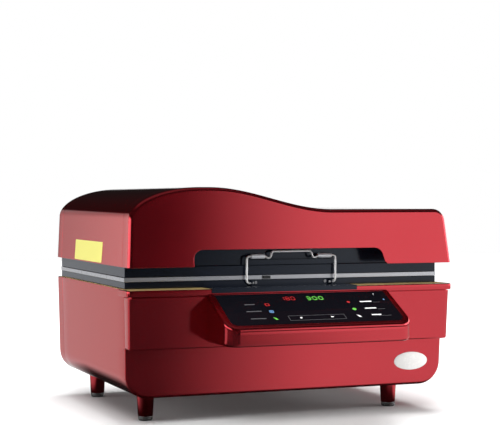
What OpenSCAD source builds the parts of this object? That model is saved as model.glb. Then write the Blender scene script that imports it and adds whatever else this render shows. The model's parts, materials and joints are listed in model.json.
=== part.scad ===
/* [Overall] */
// Width over the rim of the base
body_w = 600; // [570:5:660]
// Depth of the base from its front rim to its rear wall
body_d = 485; // [470:5:520]
// Height of the underside of the base above the floor
foot_h = 49; // [35:1:70]
// Height of the lower box of the base
lower_h = 83.5; // [75:0.5:110]
// Height of the upper housing of the base
upper_h = 98; // [90:1:120]

/* [Base sheet metal] */
// Thickness of the bent steel sheets
sheet_t = 1.5; // [1:0.1:2]
// Thickness of the moulded end covers
cover_t = 2.5; // [2:0.1:3]
// Radius of the lower corners of the base
corner_r = 40; // [30:1:50]
// Inward lean of the sides of the base
base_taper = 1.37; // [0.5:0.1:2]
// Inward lean of the front faces of the base
base_lean = 2.6; // [1:0.1:4]
// Depth that the front cover wraps round the sides
front_wrap = 31; // [28:1:36]
// Depth that the rear cover wraps round the sides
rear_wrap = 36; // [30:1:45]
// Distance of the lower front panel behind the rim
low_step = 32; // [26:1:36]
// Depth that the lower front panel wraps round the sides
low_wrap = 10; // [8:1:14]
// Height of the rim band of the base
rim_h = 10.6; // [8:0.2:14]
// Distance that the rim stands proud of the sides
rim_proud = 3; // [2:0.1:4]
// Depth of the rim band along the sides
rim_wrap = 55; // [50:1:70]
// Height and depth of the groove under the rim
groove = 1.2; // [0.8:0.1:1.5]
// Radius of the upright front edges
edge_r = 10; // [6:1:14]

/* [Feet] */
// Radius of a foot where it meets the base
foot_r = 15.5; // [12:0.5:18]
// Radius of a foot at its rubber tip
foot_low_r = 13; // [10:0.5:14]
// Height of the rubber tip
tip_h = 8; // [6:0.5:12]
// Distance of the foot axes inside the rim of the base
foot_inset = 67; // [64:1:90]
// Distance of the front feet behind the rim
foot_front = 120; // [80:1:140]
// Distance of the rear feet in front of the rear wall
foot_back = 54; // [45:1:70]

/* [Frames] */
// Distance of the sides of the tray inside the rim of the base
frame_inset = 9; // [8:0.5:20]
// Distance of the rear of the tray in front of the rear wall
frame_back = 6; // [4:0.5:12]
// Depth of the ledge in front of the tray
ledge_d = 48; // [44:1:50]
// Width of the work area
work_w = 420; // [400:5:440]
// Depth of the work area
work_d = 300; // [280:5:310]
// Height of the edge of the vacuum tray
tray_h = 11.2; // [11:0.2:14]
// Depth of the vacuum pan below the top of the tray
pan_deep = 22; // [20:1:28]
// Height of the membrane frame
membrane_h = 7; // [6.5:0.1:9]
// Thickness of the silicone membrane
membrane_t = 1.5; // [1:0.1:2]
// Height of the lid frame that shows below the lid
band_h = 18.1; // [17:0.1:22]
// Thickness of the perforated work plate
plate_t = 3; // [2:0.5:4]
// Radius of the holes in the work plate
perforation_r = 3; // [2:0.5:4]

/* [Lid] */
// Distance of each side of the lid inside the rim of the base
lid_inset = 1.4; // [1:0.1:4]
// Height of the flat right part of the lid skin
lid_h = 95; // [92:1:110]
// Height that the hump rises over the flat part
hump_h = 37.5; // [34:0.5:45]
// Length of the rounded left shoulder of the hump
shoulder_w = 128; // [110:1:135]
// Height of the rounded left shoulder of the hump
shoulder_h = 55; // [45:1:60]
// Length of the level top of the hump
crest_w = 15; // [5:1:25]
// Length of the slope from the hump down to the flat part
slope_w = 225; // [180:1:240]
// Radius of the right shoulder of the lid
shoulder_r = 22; // [16:1:28]
// Inward lean of the sides of the lid
lid_taper = 4.16; // [3:0.1:5]
// Backward lean of the front of the lid
lid_lean = 8.6; // [6:0.1:10]
// Backward lean of the rear of the lid
rear_lean = 6.5; // [4:0.1:8]
// Distance of the lower front edge of the lid behind the rim
lid_front = 1.2; // [0.5:0.1:3]
// Depth that the lid covers wrap over the skin
lid_wrap = 36; // [30:1:42]
// Height of the notch in the lid's front cover
notch_h = 28; // [26:1:32]
// Left end of the notch
notch_left = 185; // [170:1:200]
// Right end of the notch
notch_right = 164; // [150:1:180]
// Radius of the upper corners of the notch
notch_r = 16; // [10:1:20]

/* [Oven] */
// Free height from the lid frame to the top of the oven liner
liner_h = 97; // [92:1:98]
// Thickness of the insulation round the liner
insulation_t = 10; // [8:1:11]
// Radius of a heater tube
heater_r = 4; // [3:0.5:5]
// Drop of the heater tubes below the liner top
heater_drop = 10; // [8:1:14]
// Drop of the heater guard below the liner top
guard_drop = 21; // [19:1:26]
// Radius of the circulation impeller
impeller_r = 46; // [36:1:48]
// Place of the circulation fan, right of the end of the shoulder
fan_right = 20; // [10:1:30]

/* [Controls] */
// Width of the control nose
nose_w = 334; // [300:1:360]
// Distance of the nose to the right of the middle
nose_x = 4; // [0:1:10]
// Reach of the nose in front of the rim
nose_reach = 97; // [80:1:110]
// Height of the front lip of the nose
nose_lip = 31; // [26:1:36]
// Drop of the control panel from its back to its front
nose_drop = 50; // [40:1:56]
// Radius of the front corners of the nose
nose_r = 22; // [15:1:28]
// Thickness of the bezel that holds the glass
bezel_t = 5.5; // [5:0.1:7]
// Thickness of the touch glass
glass_t = 3; // [2:0.1:4]
// Width of the bezel beside the glass
bezel_side = 11.5; // [9:0.5:15]
// Width of the bezel in front of the glass
bezel_front = 9; // [7:0.5:12]

/* [Latch] */
// Radius of the wire of the bail
wire_r = 2; // [1.5:0.1:2.5]
// Distance of the bail to the right of the middle
bail_x = 6.5; // [0:0.5:12]
// Half the distance between the legs of the bail
leg_x = 83; // [78:1:90]
// Height of the sleeves over the pivot of the bail
sleeve_z = 46; // [44:1:48]
// Radius of a bail sleeve
sleeve_r = 4; // [3.5:0.1:4.5]
// Length of a bail sleeve
sleeve_l = 25; // [20:1:28]
// Distance of the bail in front of the tray
bail_gap = 6.4; // [6:0.1:8]
// Running clearance of pins and shafts
running = 0.06; // [0.03:0.01:0.1]

/* [Hinges] */
// Distance of the hinge axis behind the frames
hinge_back = 18; // [16:1:22]
// Radius of a hinge knuckle
knuckle_r = 7; // [6:0.5:8]
// Radius of a hinge pin
pin_r = 4; // [3:0.5:4.5]
// Distance of the hinges inside the rim of the base
hinge_inset = 110; // [90:5:150]
// Width of one hinge knuckle
knuckle_w = 22; // [16:1:26]

/* [Hidden] */
$fn = 48;

red = [0.62, 0.05, 0.08];
dark = [0.06, 0.06, 0.08];
grey = [0.6, 0.6, 0.62];
seat = 0.3;
half_w = body_w / 2;

// Heights of the stack from the floor up
z_floor = foot_h;
z_step = z_floor + lower_h;
z_deck = z_step + upper_h;
z_groove = z_deck - rim_h;
z_tray = z_deck + seat;
z_tray_top = z_tray + tray_h;
z_membrane = z_tray_top + seat;
z_membrane_top = z_membrane + membrane_h;
z_frame = z_membrane_top + seat;
z_lid = z_frame + band_h;
z_flat = z_lid + lid_h;
z_hump = z_flat + hump_h;

// Places across the width that follow the rim
foot_x = half_w - foot_inset;
hinge_x = half_w - hinge_inset;
frame_w = body_w - 2 * frame_inset;

// Depths of the frames, the hinge line and the middle of the whole object
frame_d = body_d - frame_back - ledge_d;
frame_y0 = ledge_d;
frame_y1 = ledge_d + frame_d;
mid_frame_y = ledge_d + frame_d / 2;
y_hinge = frame_y1 + hinge_back;
z_hinge = z_membrane + membrane_h / 2;
y_front = -nose_reach;
y_back = y_hinge + knuckle_r;
mid_y = (y_front + y_back) / 2;

// The window through the frames
lip = 10;
window_w = work_w + 2 * lip;
window_d = work_d + 2 * lip;

base_hw_top = half_w - rim_proud;
inner_hw = base_hw_top - upper_h * tan(base_taper) - cover_t;
inner_low_hw = base_hw_top - (upper_h + lower_h) * tan(base_taper) - cover_t;
lid_half = half_w - lid_inset;
lid_rear = body_d + 1;

// Outlines

function base_hw(z) = base_hw_top - (z_deck - z) * tan(base_taper);

function arc_points(cx, cy, r, from, to, steps) =
  [for (k = [0:steps]) let(a = from + (to - from) * k / steps) [cx + r * cos(a), cy + r * sin(a)]];

// Section of the base across its width, inset by a wall and open at the top
function base_outline(inset, z_top) =
  let(zc = z_floor + corner_r, xc = base_hw(zc) - corner_r, r = corner_r - inset)
  concat(
    [[base_hw(z_top) - inset, z_top]],
    arc_points(xc, zc, r, 0, -90, 10),
    arc_points(-xc, zc, r, -90, -180, 10),
    [[-base_hw(z_top) + inset, z_top]]
  );

function lid_hw(z) = lid_half - (z - z_lid) * tan(lid_taper);

// End of the left shoulder, from where the crest, the slope and the fan are placed
x_shoulder = -lid_hw(z_hump - shoulder_h) + shoulder_w;
x_slope = x_shoulder + crest_w;
fan_left = -x_shoulder - fan_right;

// Section of the lid across its width, with its hump on the left
function lid_outline(inset, z_low) =
  let(
    z_left = z_hump - shoulder_h,
    z_right = z_flat - shoulder_r,
    x_right = lid_hw(z_right) - shoulder_r
  )
  concat(
    [[-lid_hw(z_low) + inset, z_low]],
    [for (k = [0:12]) let(a = 180 - 90 * k / 12)
      [x_shoulder + (shoulder_w - inset) * cos(a), z_left + (shoulder_h - inset) * sin(a)]],
    [for (k = [0:14]) let(t = k / 14)
      [x_slope + slope_w * t, z_hump - inset - hump_h * (1 - cos(180 * t)) / 2]],
    arc_points(x_right, z_right, shoulder_r - inset, 90, 0, 8),
    [[lid_hw(z_low) - inset, z_low]]
  );

// Side outline of a slice of the lid that lies parallel to its front or to its rear
function front_line(z) = lid_front + (z - z_lid) * tan(lid_lean);
function rear_line(z) = lid_rear + (z - z_lid) * tan(rear_lean);
function lid_slice(from, to) =
  let(z0 = z_lid, z1 = z_hump + 1)
  [[front_line(z0) + from, z0], [front_line(z0) + to, z0], [front_line(z1) + to, z1], [front_line(z1) + from, z1]];
function lid_rear_slice(from, to) =
  let(z0 = z_lid, z1 = z_hump + 1)
  [[rear_line(z0) - from, z0], [rear_line(z0) - to, z0], [rear_line(z1) - to, z1], [rear_line(z1) - from, z1]];
function lid_middle_slice(from, to) =
  let(z0 = z_lid, z1 = z_hump + 1)
  [[front_line(z0) + from, z0], [rear_line(z0) - to, z0], [rear_line(z1) - to, z1], [front_line(z1) + from, z1]];

// Front faces of the base, which lean back towards the floor
function upper_face(z) = rim_proud - 0.4 + (z_groove - z) * tan(base_lean);
function lower_face(z) = low_step + (z_step - z) * tan(base_lean);

// Plan with two rounded front corners
function plan_outline(x0, x1, y0, y1, r) = concat(
  [[x0, y1]],
  arc_points(x0 + r, y0 + r, r, 180, 270, 8),
  arc_points(x1 - r, y0 + r, r, 270, 360, 8),
  [[x1, y1]]
);

// Helpers

// Puts the origin under the middle of the whole object
module placed() translate([0, -mid_y, 0]) children();

// Extrudes an outline drawn in X and Z along Y
module along_y(y0, y1) translate([0, y1, 0]) rotate([90, 0, 0]) linear_extrude(y1 - y0) children();

// Extrudes an outline drawn in Y and Z along X
module along_x(x0, x1) translate([x0, 0, 0]) rotate([90, 0, 90]) linear_extrude(x1 - x0) children();

module box(x0, x1, y0, y1, z0, z1) translate([x0, y0, z0]) cube([x1 - x0, y1 - y0, z1 - z0]);

// A ring in plan round the middle of the frames
module frame_ring(outer_w, outer_d, inner_w, inner_d, z0, z1) difference() {
  box(-outer_w / 2, outer_w / 2, mid_frame_y - outer_d / 2, mid_frame_y + outer_d / 2, z0, z1);
  box(-inner_w / 2, inner_w / 2, mid_frame_y - inner_d / 2, mid_frame_y + inner_d / 2, z0 - 1, z1 + 1);
}

module rod(from, to, r) {
  v = to - from;
  h = norm(v);
  translate(from) rotate([0, acos(v[2] / h), atan2(v[1], v[0])]) cylinder(r = r, h = h);
}

// A bent wire through a list of points
module wire(points, r) {
  for (k = [0:len(points) - 2]) rod(points[k], points[k + 1], r);
  for (k = [1:len(points) - 2]) translate(points[k]) sphere(r = r);
}

// Base: outer skins

module base_section(inset, z_top) polygon(base_outline(inset, z_top));

module base_ring(wall, y0, y1) along_y(y0, y1) difference() {
  base_section(0, z_deck);
  base_section(wall, z_deck + 1);
}

module base_shell() color(red) difference() {
  base_ring(sheet_t, front_wrap + seat, body_d - rear_wrap - seat);
  // The lower front edge stands behind the wrap of the front panel
  box(-half_w, half_w, 0, low_step + low_wrap + seat, 0, z_step + seat);
}

module base_front_cover() color(red) {
  difference() {
    intersection() {
      along_y(0, front_wrap) base_section(0, z_deck - sheet_t - seat);
      along_x(-half_w, half_w) polygon([
        [upper_face(z_step), z_step], [front_wrap, z_step], [front_wrap, z_deck], [upper_face(z_deck), z_deck]
      ]);
      linear_extrude(z_deck) polygon(
        plan_outline(-base_hw_top, base_hw_top, upper_face(z_groove), front_wrap + 1, edge_r)
      );
    }
    // Hollow behind the front wall
    along_y(upper_face(z_step) + cover_t, front_wrap + 1) polygon([
      [-inner_hw, z_step + cover_t], [inner_hw, z_step + cover_t], [inner_hw, z_deck + 1], [-inner_hw, z_deck + 1]
    ]);
    // Groove under the rim
    difference() {
      box(-half_w, half_w, -1, front_wrap + 1, z_groove - groove, z_groove);
      box(-base_hw_top + 2 * groove, base_hw_top - 2 * groove, upper_face(z_groove) + groove, front_wrap + 2,
        z_groove - groove - 1, z_groove + 1);
    }
    // Cable hole into the control nose
    box(nose_x - 30, nose_x + 30, -1, front_wrap + 1, z_step + 25, z_step + 50);
  }
  // Rim band with chamfered corners
  difference() {
    translate([0, 0, z_groove]) linear_extrude(rim_h) polygon([
      [-half_w, rim_wrap], [-half_w, 2 * rim_proud], [-half_w + 2 * rim_proud, 0],
      [half_w - 2 * rim_proud, 0], [half_w, 2 * rim_proud], [half_w, rim_wrap]
    ]);
    box(-base_hw_top, base_hw_top, front_wrap - 1, rim_wrap + 1, z_groove - 1, z_deck + 1);
    box(-base_hw_top + cover_t, base_hw_top - cover_t, rim_proud + cover_t, rim_wrap + 1, z_groove - 1, z_deck + 1);
  }
}

module lower_front_panel() color(red) difference() {
  intersection() {
    along_y(low_step, low_step + low_wrap) base_section(0, z_step - seat);
    along_x(-half_w, half_w) polygon([
      [lower_face(z_floor), z_floor], [low_step + low_wrap, z_floor],
      [low_step + low_wrap, z_step], [lower_face(z_step), z_step]
    ]);
    linear_extrude(z_deck) polygon(
      plan_outline(-base_hw(z_step), base_hw(z_step), low_step, low_step + low_wrap + 1, low_wrap - 1)
    );
  }
  along_y(lower_face(z_floor) + cover_t, low_step + low_wrap + 1) base_section(cover_t, z_step + 1);
}

fan_x = 150 - half_w;
fan_z = z_floor + 88;
fan_size = 92;
fan_bore = 42;
inlet_x = half_w - 110;
inlet_z = z_floor + 36;
switch_x = inlet_x - 60;

module base_rear_cover() color(red) difference() {
  along_y(body_d - rear_wrap, body_d) base_section(0, z_deck);
  along_y(body_d - rear_wrap - 1, body_d - cover_t) base_section(cover_t, z_deck + 1);
  translate([fan_x, body_d, fan_z]) rotate([90, 0, 0]) cylinder(r = fan_bore, h = 10, center = true);
  box(inlet_x - 14, inlet_x + 14, body_d - 10, body_d + 1, inlet_z - 10, inlet_z + 10);
  box(switch_x - 11, switch_x + 11, body_d - 10, body_d + 1, inlet_z - 14, inlet_z + 14);
}

module deck_plate() color([0.72, 0.6, 0.3]) difference() {
  box(-base_hw_top + cover_t + seat, base_hw_top - cover_t - seat, rim_proud + cover_t + seat,
    body_d - cover_t - seat, z_deck - sheet_t, z_deck);
  box(-pan_half_w - seat, pan_half_w + seat, mid_frame_y - pan_half_d - seat, mid_frame_y + pan_half_d + seat,
    z_deck - 5, z_deck + 5);
}

module feet(i, j) translate([i * foot_x, j < 0 ? foot_front : body_d - foot_back, 0]) children();
module foot_leg() color(red) translate([0, 0, tip_h]) cylinder(r1 = foot_low_r, r2 = foot_r, h = foot_h - tip_h);
module foot_tip() color(grey) {
  cylinder(r1 = foot_low_r - 3, r2 = foot_low_r - 1, h = 2);
  translate([0, 0, 2]) cylinder(r1 = foot_low_r - 1, r2 = foot_low_r - 0.2, h = tip_h - 2);
}
module foot_front_left() feet(-1, -1) foot_leg();
module foot_front_right() feet(1, -1) foot_leg();
module foot_rear_left() feet(-1, 1) foot_leg();
module foot_rear_right() feet(1, 1) foot_leg();
module tip_front_left() feet(-1, -1) foot_tip();
module tip_front_right() feet(1, -1) foot_tip();
module tip_rear_left() feet(-1, 1) foot_tip();
module tip_rear_right() feet(1, 1) foot_tip();

// Vacuum tray and work plate

pan_wall = 2;
pan_step = 8;
pan_half_w = window_w / 2 + pan_wall;
pan_half_d = window_d / 2 + pan_wall;
z_pan = z_tray_top - pan_deep;
z_plate = z_tray_top - 3 - plate_t;
port_x = window_w / 2 - 40;
port_y = mid_frame_y + 60;
port_r = 5;

module vacuum_tray() color(dark) difference() {
  union() {
    frame_ring(frame_w, frame_d, frame_w - 2 * pan_wall, frame_d - 2 * pan_wall, z_tray, z_tray_top);
    frame_ring(frame_w, frame_d, window_w, window_d, z_tray_top - pan_wall, z_tray_top);
  }
  // Groove for the seal
  frame_ring(window_w + 44, window_d + 44, window_w + 28, window_d + 28, z_tray_top - 1, z_tray_top + 1);
}

// The pan is welded under the edge of the tray
module tray_pan() color(dark) difference() {
  union() {
    frame_ring(2 * pan_half_w, 2 * pan_half_d, window_w, window_d, z_pan, z_tray_top - pan_wall);
    box(-pan_half_w, pan_half_w, mid_frame_y - pan_half_d, mid_frame_y + pan_half_d, z_pan, z_pan + pan_wall);
    // Step that carries the work plate
    frame_ring(2 * pan_half_w, 2 * pan_half_d, window_w - 2 * pan_step, window_d - 2 * pan_step, z_plate - pan_wall,
      z_plate);
  }
  translate([port_x, port_y, z_pan - 1]) cylinder(r = port_r, h = pan_wall + 2);
}

module tray_gasket() color(dark)
  frame_ring(window_w + 43.4, window_d + 43.4, window_w + 28.6, window_d + 28.6, z_tray_top - 1, z_tray_top);

holes_x = 9;
holes_y = 5;
module work_plate() color(grey) difference() {
  box(-window_w / 2 + 0.5, window_w / 2 - 0.5, mid_frame_y - window_d / 2 + 0.5, mid_frame_y + window_d / 2 - 0.5,
    z_plate, z_plate + plate_t);
  for (i = [0:holes_x - 1], j = [0:holes_y - 1])
    translate([
      (i / (holes_x - 1) - 0.5) * (work_w - 40), mid_frame_y + (j / (holes_y - 1) - 0.5) * (work_d - 40), z_plate - 1
    ]) cylinder(r = perforation_r, h = plate_t + 2);
}

module tray_nozzle() color([0.75, 0.6, 0.25]) translate([port_x, port_y, 0]) difference() {
  union() {
    translate([0, 0, z_pan - 4]) cylinder(r = 9, h = 4, $fn = 6);
    translate([0, 0, z_pan - 20]) cylinder(r = 4, h = 17);
  }
  translate([0, 0, z_pan - 21]) cylinder(r = 2.5, h = 22);
}

// Control nose

nose_x0 = nose_x - nose_w / 2;
nose_x1 = nose_x + nose_w / 2;
z_nose_back = z_groove + 3;
z_nose_front = z_nose_back - nose_drop;
z_nose_low = z_nose_front - nose_lip;
nose_wall = 2.5;
function nose_top(y) = z_nose_back + nose_drop * y / nose_reach;

module nose_plan(inset) linear_extrude(z_deck) polygon(
  plan_outline(nose_x0 + inset, nose_x1 - inset, -nose_reach + inset, 40, nose_r - inset)
);

module nose_side(top_drop, low_rise, back) along_x(nose_x0 - 1, nose_x1 + 1) polygon([
  [-nose_reach - 1, z_nose_low + low_rise], [upper_face(z_nose_low) - back, z_nose_low + low_rise],
  [upper_face(z_groove) - back, min(z_groove - 2, nose_top(-seat) - top_drop)],
  [-seat - back, min(z_groove - 2, nose_top(-seat) - top_drop)], [-seat - back, nose_top(-seat) - top_drop],
  [-nose_reach - 1, nose_top(-nose_reach - 1) - top_drop]
]);

module control_housing() color(red) difference() {
  intersection() {
    nose_plan(0);
    nose_side(bezel_t + 0.6, 0, 0);
    // Rounded lower front edge
    along_x(nose_x0 - 1, nose_x1 + 1) polygon(concat(
      [[50, z_nose_low], [50, z_deck], [-nose_reach, z_deck]],
      arc_points(-nose_reach + 7, z_nose_low + 7, 7, 180, 270, 6)
    ));
  }
  intersection() {
    nose_plan(nose_wall);
    nose_side(bezel_t - 5, nose_wall, nose_wall);
  }
  box(nose_x - 30, nose_x + 30, -10, 40, z_step + 25, z_step + 50);
}

slope_a = atan(nose_drop / nose_reach);
module on_slope() translate([nose_x, -nose_reach, z_nose_front]) rotate([slope_a, 0, 0]) children();
glass_w = nose_w - 2 * bezel_side;
glass_l = nose_reach / cos(slope_a) - bezel_front - 2;

module glass_plan(grow) linear_extrude(20) polygon(plan_outline(
  -glass_w / 2 - grow, glass_w / 2 + grow, bezel_front - grow, bezel_front + glass_l + grow, 12
));

module control_bezel() color(red) difference() {
  intersection() {
    nose_plan(0);
    nose_side(0, 0, 0);
  }
  nose_side_low();
  on_slope() translate([0, 0, -glass_t - 0.2]) glass_plan(0.3);
  on_slope() translate([0, 0, -15]) glass_plan(-4);
}

module nose_side_low() along_x(nose_x0 - 2, nose_x1 + 2) polygon([
  [-nose_reach - 5, nose_top(-nose_reach - 5) - bezel_t], [30, nose_top(30) - bezel_t], [30, 0], [-nose_reach - 5, 0]
]);

module control_glass() color(dark) on_slope() intersection() {
  translate([0, 0, -glass_t]) glass_plan(0);
  translate([-nose_w, 0, -glass_t]) cube([2 * nose_w, 2 * nose_reach, glass_t]);
}

// The board hangs on four posts below the bezel
board_w = 220;
board_l = 66;
board_v = 20;
post_in = 4;
post_h = 3.4;
module control_board() color([0.05, 0.3, 0.12]) on_slope() {
  translate([-board_w / 2, board_v, -bezel_t - post_h - 1.6]) cube([board_w, board_l, 1.6]);
  for (i = [-1, 1], j = [board_v + post_in, board_v + board_l - post_in])
    translate([i * (board_w / 2 - 10), j, -bezel_t - post_h])
      cylinder(r = 2.5, h = bezel_t + post_h - glass_t - 0.2);
}

badge_w = 66;
badge_d = 32;
badge_x = half_w - 66;
module oval_badge() color("white")
  translate([badge_x, lower_face(z_floor + 43), z_floor + 43]) rotate([90 + base_lean, 0, 0])
    translate([0, 0, 0.05]) linear_extrude(1) polygon([for (k = [0:35]) [badge_w / 2 * cos(10 * k), badge_d / 2 * sin(10 * k)]]);

// Vacuum pump and electrics inside the base

z_in = z_floor + sheet_t;
pump_back = 205;
pump_y = body_d - pump_back;
pump_x = 40;
pump_head_l = 36;
motor_r = 32;
motor_l = 130;
rubber_h = 8;
bracket_plate = 2;
z_bracket = z_in + rubber_h + bracket_plate;
z_cradle = z_bracket + 6.5;
pump_z = z_cradle + motor_r - 2.5;

module pump_bracket() color(grey) {
  box(pump_x - 20, pump_x + motor_l + 50, pump_y - motor_r - 3, pump_y + motor_r + 3, z_in + rubber_h, z_bracket);
  for (i = [-8, motor_l + 38], j = [-25, 25])
    translate([pump_x + i, pump_y + j, z_in]) cylinder(r = 6, h = rubber_h);
  for (i = [30, motor_l - 20])
    box(pump_x + i, pump_x + i + 20, pump_y - 20, pump_y + 20, z_bracket, z_cradle);
}
// Pump head on the left and its motor on the right, in one piece
module vacuum_pump() color([0.3, 0.32, 0.35]) {
  box(pump_x - 16, pump_x - 16 + pump_head_l + 1, pump_y - 30, pump_y + 30, z_bracket, pump_z + motor_r + 2);
  difference() {
    translate([pump_x - 16 + pump_head_l, pump_y, pump_z]) rotate([0, 90, 0]) cylinder(r = motor_r, h = motor_l);
    box(pump_x - 16, pump_x + motor_l + 30, pump_y - motor_r - 3, pump_y + motor_r + 3, z_in, z_cradle);
  }
}
module solenoid_valve() color([0.75, 0.6, 0.25]) {
  box(port_x - 12, port_x + 12, port_y - 12, port_y + 12, z_pan - 42, z_pan - 20);
  box(port_x - 16, port_x + 16, port_y - 14, port_y + 14, z_pan - 68, z_pan - 42);
}
module vacuum_hose() color(dark) wire([
  [port_x, port_y - 12, z_pan - 31], [port_x, pump_y - 60, z_pan - 31], [pump_x, pump_y - 60, z_pan - 31],
  [pump_x, pump_y - 60, pump_z], [pump_x, pump_y - 30, pump_z]
], 5);
transformer_w = 70;
transformer_h = 60;
transformer_x = -inner_low_hw + corner_r + 10;
module transformer() color([0.3, 0.3, 0.32])
  box(transformer_x, transformer_x + transformer_w, foot_front + 30, foot_front + 30 + transformer_w, z_in,
    z_in + transformer_h);

fan_y1 = body_d - cover_t;
module cooling_fan_frame() color(dark) difference() {
  box(fan_x - fan_size / 2, fan_x + fan_size / 2, fan_y1 - 25, fan_y1, fan_z - fan_size / 2, fan_z + fan_size / 2);
  translate([fan_x, fan_y1 + 1, fan_z]) rotate([90, 0, 0]) difference() {
    cylinder(r = fan_bore, h = 27);
    cylinder(r = 17, h = 5);
    for (k = [0:2]) rotate(120 * k + 30) translate([0, -2, 0]) cube([fan_bore + 1, 4, 4]);
    cylinder(r = 3, h = 20);
  }
}
module cooling_fan_rotor() color(dark) translate([fan_x, fan_y1 - 5, fan_z]) rotate([90, 0, 0]) difference() {
  union() {
    cylinder(r = 17, h = 19);
    intersection() {
      for (k = [0:6]) rotate(360 / 7 * k) rotate([40, 0, 0]) translate([0, -11, -10]) cube([50, 1.6, 60]);
      difference() {
        translate([0, 0, 2]) cylinder(r = fan_bore - 2, h = 15);
        cylinder(r = 16, h = 20);
      }
    }
  }
  translate([0, 0, -1]) cylinder(r = 3 + running, h = 16.2);
}
module fan_guard() color(grey) translate([fan_x, body_d + 2, fan_z]) rotate([90, 0, 0]) {
  for (r = [12, 24, 36, 48]) difference() {
    cylinder(r = r + 1.2, h = 2);
    translate([0, 0, -1]) cylinder(r = r - 1.2, h = 4);
  }
  for (k = [0:3]) rotate(90 * k + 45) translate([12, -1.5, 0]) cube([36, 3, 2]);
}

module power_inlet() color(dark) difference() {
  union() {
    box(inlet_x - 25, inlet_x + 25, body_d, body_d + 3, inlet_z - 12, inlet_z + 12);
    box(inlet_x - 13.7, inlet_x + 13.7, body_d - 22, body_d + 1, inlet_z - 9.7, inlet_z + 9.7);
  }
  box(inlet_x - 12, inlet_x + 12, body_d - 18, body_d + 4, inlet_z - 8, inlet_z + 8);
}
module switch_bezel() color(dark) difference() {
  union() {
    box(switch_x - 13, switch_x + 13, body_d, body_d + 2, inlet_z - 16, inlet_z + 16);
    box(switch_x - 10.7, switch_x + 10.7, body_d - 18, body_d + 1, inlet_z - 13.7, inlet_z + 13.7);
  }
  box(switch_x - 8, switch_x + 8, body_d - 16, body_d + 3, inlet_z - 11.5, inlet_z + 11.5);
  translate([switch_x - 10, body_d - 6, inlet_z]) rotate([0, 90, 0]) cylinder(r = 1.5, h = 20);
}
rocker_tilt = 10;
module rocker_switch() color([0.75, 0.1, 0.08]) translate([switch_x, body_d - 6, inlet_z]) {
  rotate([-rocker_tilt, 0, 0]) along_x(-7.7, 7.7)
    polygon([[-3, -3], [-3, 3], [3, 9.6], [6.2, 9.6], [4.6, 0], [6.2, -9.6], [3, -9.6]]);
  rotate([0, 90, 0]) cylinder(r = 1.5 - running, h = 18, center = true);
}

// Bail latch

bail_y = frame_y0 - bail_gap;
bail_z = z_deck + 5.7;
ear_t = 2;
ear_x = leg_x - wire_r - 6;
bracket_t = 1.5;
bracket_left = -155;
bracket_right = 111;
module bail_bracket() color(dark) difference() {
  union() {
    box(bracket_left, bracket_right, -seat - bracket_t, frame_y0 - seat, z_deck, z_deck + bracket_t);
    box(bracket_left, bracket_right, -seat - bracket_t, -seat, z_nose_back + 1, z_deck + bracket_t);
    box(bracket_left, bracket_right, frame_y0 - seat - bracket_t, frame_y0 - seat, z_deck, z_tray_top - 1);
    for (i = [-1, 1]) translate([bail_x + i * ear_x, 0, 0])
      box(-ear_t / 2, ear_t / 2, bail_y - 5, frame_y0 - seat, z_deck, bail_z + 5);
  }
  for (i = [-1, 1]) translate([bail_x + i * ear_x, bail_y, bail_z]) rotate([0, 90, 0])
    cylinder(r = wire_r + running, h = 20, center = true);
}
module bail_screws() color(grey) for (i = [-1, 1])
  translate([bail_x + i * (ear_x - 10), frame_y0 - seat - bracket_t, bail_z + 1]) rotate([90, 0, 0]) cylinder(r = 2.6, h = 1.6);

bar_y = bail_y;
bar_z = bail_z + sleeve_z;
sleeve_x0 = leg_x - 33;
module latch_bail() color(grey) wire([
  [bail_x - ear_x + 4, bail_y, bail_z], [bail_x - leg_x, bail_y, bail_z], [bail_x - leg_x, bar_y, bar_z - 4],
  [bail_x - leg_x + 4, bar_y, bar_z], [bail_x - sleeve_x0 + 2, bar_y, bar_z], [bail_x - sleeve_x0 + 6, bar_y, bar_z - 3],
  [bail_x - sleeve_x0 + 10, bar_y, bar_z - 3], [bail_x - sleeve_x0 + 14, bar_y, bar_z + 8],
  [bail_x + sleeve_x0 - 14, bar_y, bar_z + 8], [bail_x + sleeve_x0 - 10, bar_y, bar_z - 3],
  [bail_x + sleeve_x0 - 6, bar_y, bar_z - 3], [bail_x + sleeve_x0 - 2, bar_y, bar_z], [bail_x + leg_x - 4, bar_y, bar_z],
  [bail_x + leg_x, bar_y, bar_z - 4], [bail_x + leg_x, bail_y, bail_z], [bail_x + ear_x - 4, bail_y, bail_z]
], wire_r);
module sleeve(x) color(grey) translate([x, bar_y, bar_z]) rotate([0, 90, 0]) difference() {
  cylinder(r = sleeve_r, h = sleeve_l, center = true);
  cylinder(r = wire_r + running, h = sleeve_l + 2, center = true);
}
module sleeve_left() sleeve(bail_x - sleeve_x0 - sleeve_l / 2);
module sleeve_right() sleeve(bail_x + sleeve_x0 + sleeve_l / 2);

// Hinges

module hinge_place(i) translate([i * hinge_x, y_hinge, z_hinge]) children();
module knuckle(x0, x1) rotate([0, 90, 0]) translate([0, 0, x0]) cylinder(r = knuckle_r, h = x1 - x0);
module pin_bore() rotate([0, 90, 0]) cylinder(r = pin_r + running, h = 8 * knuckle_w, center = true);
plate_z0 = z_deck - 32;
module hinge_brackets() color(dark) for (i = [-1, 1]) difference() {
  union() {
    hinge_place(i) for (s = [-1, 1]) mirror([s < 0 ? 1 : 0, 0, 0]) {
      knuckle(knuckle_w, 1.5 * knuckle_w);
      translate([knuckle_w, body_d - y_hinge, plate_z0 - z_hinge])
        cube([0.5 * knuckle_w, y_hinge - body_d + 3, z_hinge - plate_z0]);
    }
    box(i * hinge_x - 1.5 * knuckle_w, i * hinge_x + 1.5 * knuckle_w, body_d, body_d + 3, plate_z0, z_deck);
  }
  hinge_place(i) rotate([0, 90, 0]) cylinder(r = pin_r, h = 8 * knuckle_w, center = true);
}
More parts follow.
